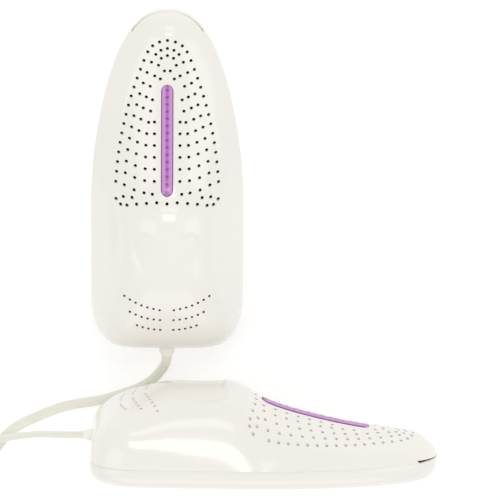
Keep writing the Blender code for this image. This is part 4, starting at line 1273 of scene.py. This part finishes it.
def coil_path():
    """Clockwise from the coil's left side. The cord sags a little everywhere but under the tie."""
    turns = np.arange(0, TURNS * POINTS_PER_TURN + 1) / POINTS_PER_TURN
    columns = np.zeros_like(turns)
    for whole, move in TURN_SHIFTS:
        columns += move * ease(turns, whole + SHIFT_FROM, whole + SHIFT_TO)
    layer = ease(turns, CLIMB_FROM, CLIMB_TO)
    angle = np.pi - 2 * np.pi * turns
    radius = COIL_RADIUS + TURN_STEP * (1 + columns)
    sag = SAG * (1 - np.exp(-((np.sin(angle) - 1) ** 2) / SAG_SPREAD))
    x, y = COIL_CENTRE.x + radius * np.cos(angle), COIL_CENTRE.y + radius * np.sin(angle)
    return np.stack([x, y, COIL_CENTRE.z - LAYER_STEP / 2 + LAYER_STEP * layer - sag], axis=1)


def lead_path():
    """The whole path from the splitter to the plug, and how many points lie before and after the coil."""
    coil = coil_path()
    arrive = smooth_curve(np.concatenate([np.array(MAIN_ROUTE), coil[:3]]), 60)[:-3]
    leave = smooth_curve(np.concatenate([coil[-3:], np.array(PLUG_ROUTE)]), 24)[3:]
    return np.concatenate([arrive, coil, leave]) - np.array(LAYOUT_CENTRE), len(arrive), len(leave)


def lead_flats(path, before, after):
    """Level at both ends, upright in the coil, where the thin direction points to its centre."""
    inward = np.array(COIL_CENTRE - LAYOUT_CENTRE) - path
    inward[:, 2] = 0
    inward /= np.linalg.norm(inward, axis=1)[:, None]
    place = np.arange(len(path))
    upright = ease(place, before - TWIST_POINTS, before - END_POINTS)
    share = (upright * (1 - ease(place, len(path) - after, len(path) - END_POINTS)))[:, None]
    return inward * share + np.array((0, 0, 1.0)) * (1 - share)


LEAD_PATH, BEFORE_COIL, AFTER_COIL = lead_path()
lead = flat_cord("mains_lead", LEAD_PATH, lead_flats(LEAD_PATH, BEFORE_COIL, AFTER_COIL))
settle(lead, "cord", "main_cord", "cord_coil", "plug_cord")
print(f"mains lead is {run_length(LEAD_PATH):.3f} m long")


# %% Coil tie
TIE_REACH, TIE_CORNER = 0.0061, 0.0016
# The band's own section: along the cord, and outwards from the cords.
TIE_SECTION = ((-0.0050, 0.0), (-0.0050, 0.00025), (-0.0047, 0.0005), (0.0047, 0.0005), (0.0050, 0.00025),
               (0.0050, 0.0))


def tie_loop():
    """A square with round corners, which the band follows round the bundle of cords."""
    loop = []
    flat = TIE_REACH - TIE_CORNER
    for side_y, side_z, start in ((flat, flat, 0), (-flat, flat, 1), (-flat, -flat, 2), (flat, -flat, 3)):
        for turn in np.linspace(0, math.pi / 2, 7):
            angle = start * math.pi / 2 + turn
            loop.append((side_y + TIE_CORNER * math.cos(angle), side_z + TIE_CORNER * math.sin(angle)))
    return loop


def coil_tie():
    middle = COIL_CENTRE - LAYOUT_CENTRE + Vector((0, COIL_RADIUS, 0))
    rows = []
    for offset, out in TIE_SECTION:
        grown = 1 + out / TIE_REACH
        rows.append([(offset, y * grown, z * grown) for y, z in tie_loop()])
    verts, faces = skin(rows + [rows[0]], ends=False)
    tie = new_piece("coil_band", verts, faces, [TIE_WHITE], Matrix.Translation(middle))
    shape = bmesh.new()
    shape.from_mesh(tie.data)
    bmesh.ops.remove_doubles(shape, verts=shape.verts, dist=1e-6)
    shape.to_mesh(tie.data)
    shape.free()
    return settle(face_out(tie), "tie", "coil_tie")


tie = coil_tie()

# %% [markdown]
# ## Inner parts
#
# The engineering model's inner parts keep their shape. They show only through the vents, the light strip and
# the toe slot, but each still gets the finish that the real part has, in the directions of its own dryer.


# %% Inner finishes
def use(material, space):
    """Points a material's coordinates at one dryer's own directions."""
    for node in material.node_tree.nodes:
        if node.type == "TEX_COORD":
            node.object = space
    return material


def inner_finishes(side):
    """The finishes of one dryer's inner parts, by slot."""
    made = {}

    def named(slot, maker, *facts):
        made[slot] = use(maker(f"{slot}_{side}", *facts), SPACES[side])

    named("lamp_glass", clear_glass, (0.86, 0.82, 0.95))
    named("holder", plastic, (0.60, 0.58, 0.52), (0.52, 0.50, 0.45), 0.5, 1500, 0.00002)
    named("reflector", metal, (0.86, 0.86, 0.87), (0.74, 0.74, 0.76), 0.14)
    named("carrier", striped, (0.13, 0.022, 0.012), (0.17, 0.035, 0.020), 0.0008, 0.5, "Y", 0.5)
    named("heater_film", striped, (0.34, 0.12, 0.02), (0.25, 0.08, 0.015), 0.004, 0.8, "X", 0.25)
    named("heat_sink", metal, (0.72, 0.73, 0.75), (0.58, 0.59, 0.61), 0.35)
    named("fuse", metal, (0.75, 0.75, 0.74), (0.60, 0.60, 0.60), 0.25)
    named("board", striped, (0.015, 0.105, 0.045), (0.025, 0.16, 0.065), 0.0024, 0.7, "Y", 0.35)
    named("film_capacitor", plastic, (0.44, 0.075, 0.02), (0.36, 0.055, 0.015), 0.25, 900, 0.00003)
    named("filter_capacitor", striped, (0.012, 0.012, 0.016), (0.35, 0.35, 0.36), 0.012, 0.86, "Y", 0.3)
    named("transformer", striped, (0.45, 0.30, 0.04), (0.16, 0.09, 0.02), 0.0006, 0.55, "X", 0.4)
    named("clamp", plastic, (0.02, 0.02, 0.02), (0.03, 0.03, 0.03), 0.5, 1500, 0.00003)
    named("lead", plastic, (0.62, 0.58, 0.50), (0.50, 0.46, 0.40), 0.4, 5000, 0.00001)
    named("screw", metal, (0.66, 0.67, 0.70), (0.50, 0.50, 0.54), 0.28, (40.0, 40.0, 1.0), 90.0)
    return made


def dress(node, material):
    mesh = nodes[node].data
    mesh.materials.clear()
    mesh.materials.append(material)


slot_of = {part["node"]: part["material_slot"] for part in frame["record"]["subparts"]}
for side in SIDES:
    finishes = inner_finishes(side)
    mine = [n for n in nodes if n.endswith(f"_{side}") and slot_of[n] in finishes]
    for name in mine:
        dress(name, finishes[slot_of[name]])
    print(side, "inner parts dressed:", len(mine))
for name in ("plug_pin_1", "plug_pin_2"):
    dress(name, PIN_METAL)

# %% [markdown]
# ## Studio
#
# The pair lies on a pale floor that glows a little, so that it stays nearly white. A bright surround keeps
# the shadows light. A soft panel on each side lights the crowns. Two strips behind draw the slanted
# highlights on the dryer that lies on its flank, and a wide panel in front fills its heel.

# %% Floor and light
FLOOR_GLOW, FLOOR_HALF, FLOOR_DROP = 0.50, 4.0, 0.0002
SURROUND = 0.775


def add_floor():
    material, tree, shader, coords = start_material("pale_floor")
    cloud = noise(tree, coords, 3.0)
    feed(tree, shader, Base_Color=blend(tree, cloud, (0.55, 0.55, 0.55), (0.57, 0.57, 0.57)), Roughness=0.9,
         Specular_IOR_Level=0.1, Emission_Color=(1.0, 1.0, 1.0), Emission_Strength=FLOOR_GLOW)
    corners = [(FLOOR_HALF * x, FLOOR_HALF * y, 0) for x, y in ((-1, -1), (1, -1), (1, 1), (-1, 1))]
    new_piece("floor", corners, [(0, 1, 2, 3)], [material],
                       Matrix.Translation((0, 0, -FLOOR_DROP)), smooth=False)


def add_panel(name, azimuth, elevation, reach, size, power):
    """A soft panel in a direction from the pair, facing it: degrees from +X, degrees up, metres."""
    level, up = math.radians(azimuth), math.radians(elevation)
    place = reach * Vector((math.cos(up) * math.cos(level), math.cos(up) * math.sin(level), math.sin(up)))
    data = bpy.data.lights.new(name, "AREA")
    data.shape = "RECTANGLE"
    data.size, data.size_y = size
    data.energy = power
    turn = (-place).to_track_quat("-Z", "Y").to_matrix().to_4x4()
    return add_object(name, data, Matrix.Translation(place) @ turn)


def add_surround(strength):
    world = bpy.data.worlds.new("surround")
    world.use_nodes = True
    feed(world.node_tree, world.node_tree.nodes["Background"], Color=(1.0, 1.0, 1.0), Strength=strength)
    bpy.context.scene.world = world


add_floor()
add_surround(SURROUND)
# Each panel: its name, azimuth, elevation, distance, size and power.
PANELS = (
    ("panel_left", 170, 50, 1.1, (0.70, 0.60), 1.1),
    ("panel_right", 6, 38, 1.1, (0.70, 0.60), 1.1),
    ("strip_low", 88, 54.5, 1.2, (0.46, 0.23), 1.2),
    ("strip_high", 87, 34, 1.2, (0.54, 0.17), 0.50),
    ("fill_front", -90, 35, 1.2, (1.4, 0.7), 2.0),
)
for panel_facts in PANELS:
    add_panel(*panel_facts)
bpy.context.scene.view_settings.view_transform = "Standard"
print("studio:", len(PANELS), "soft panels")
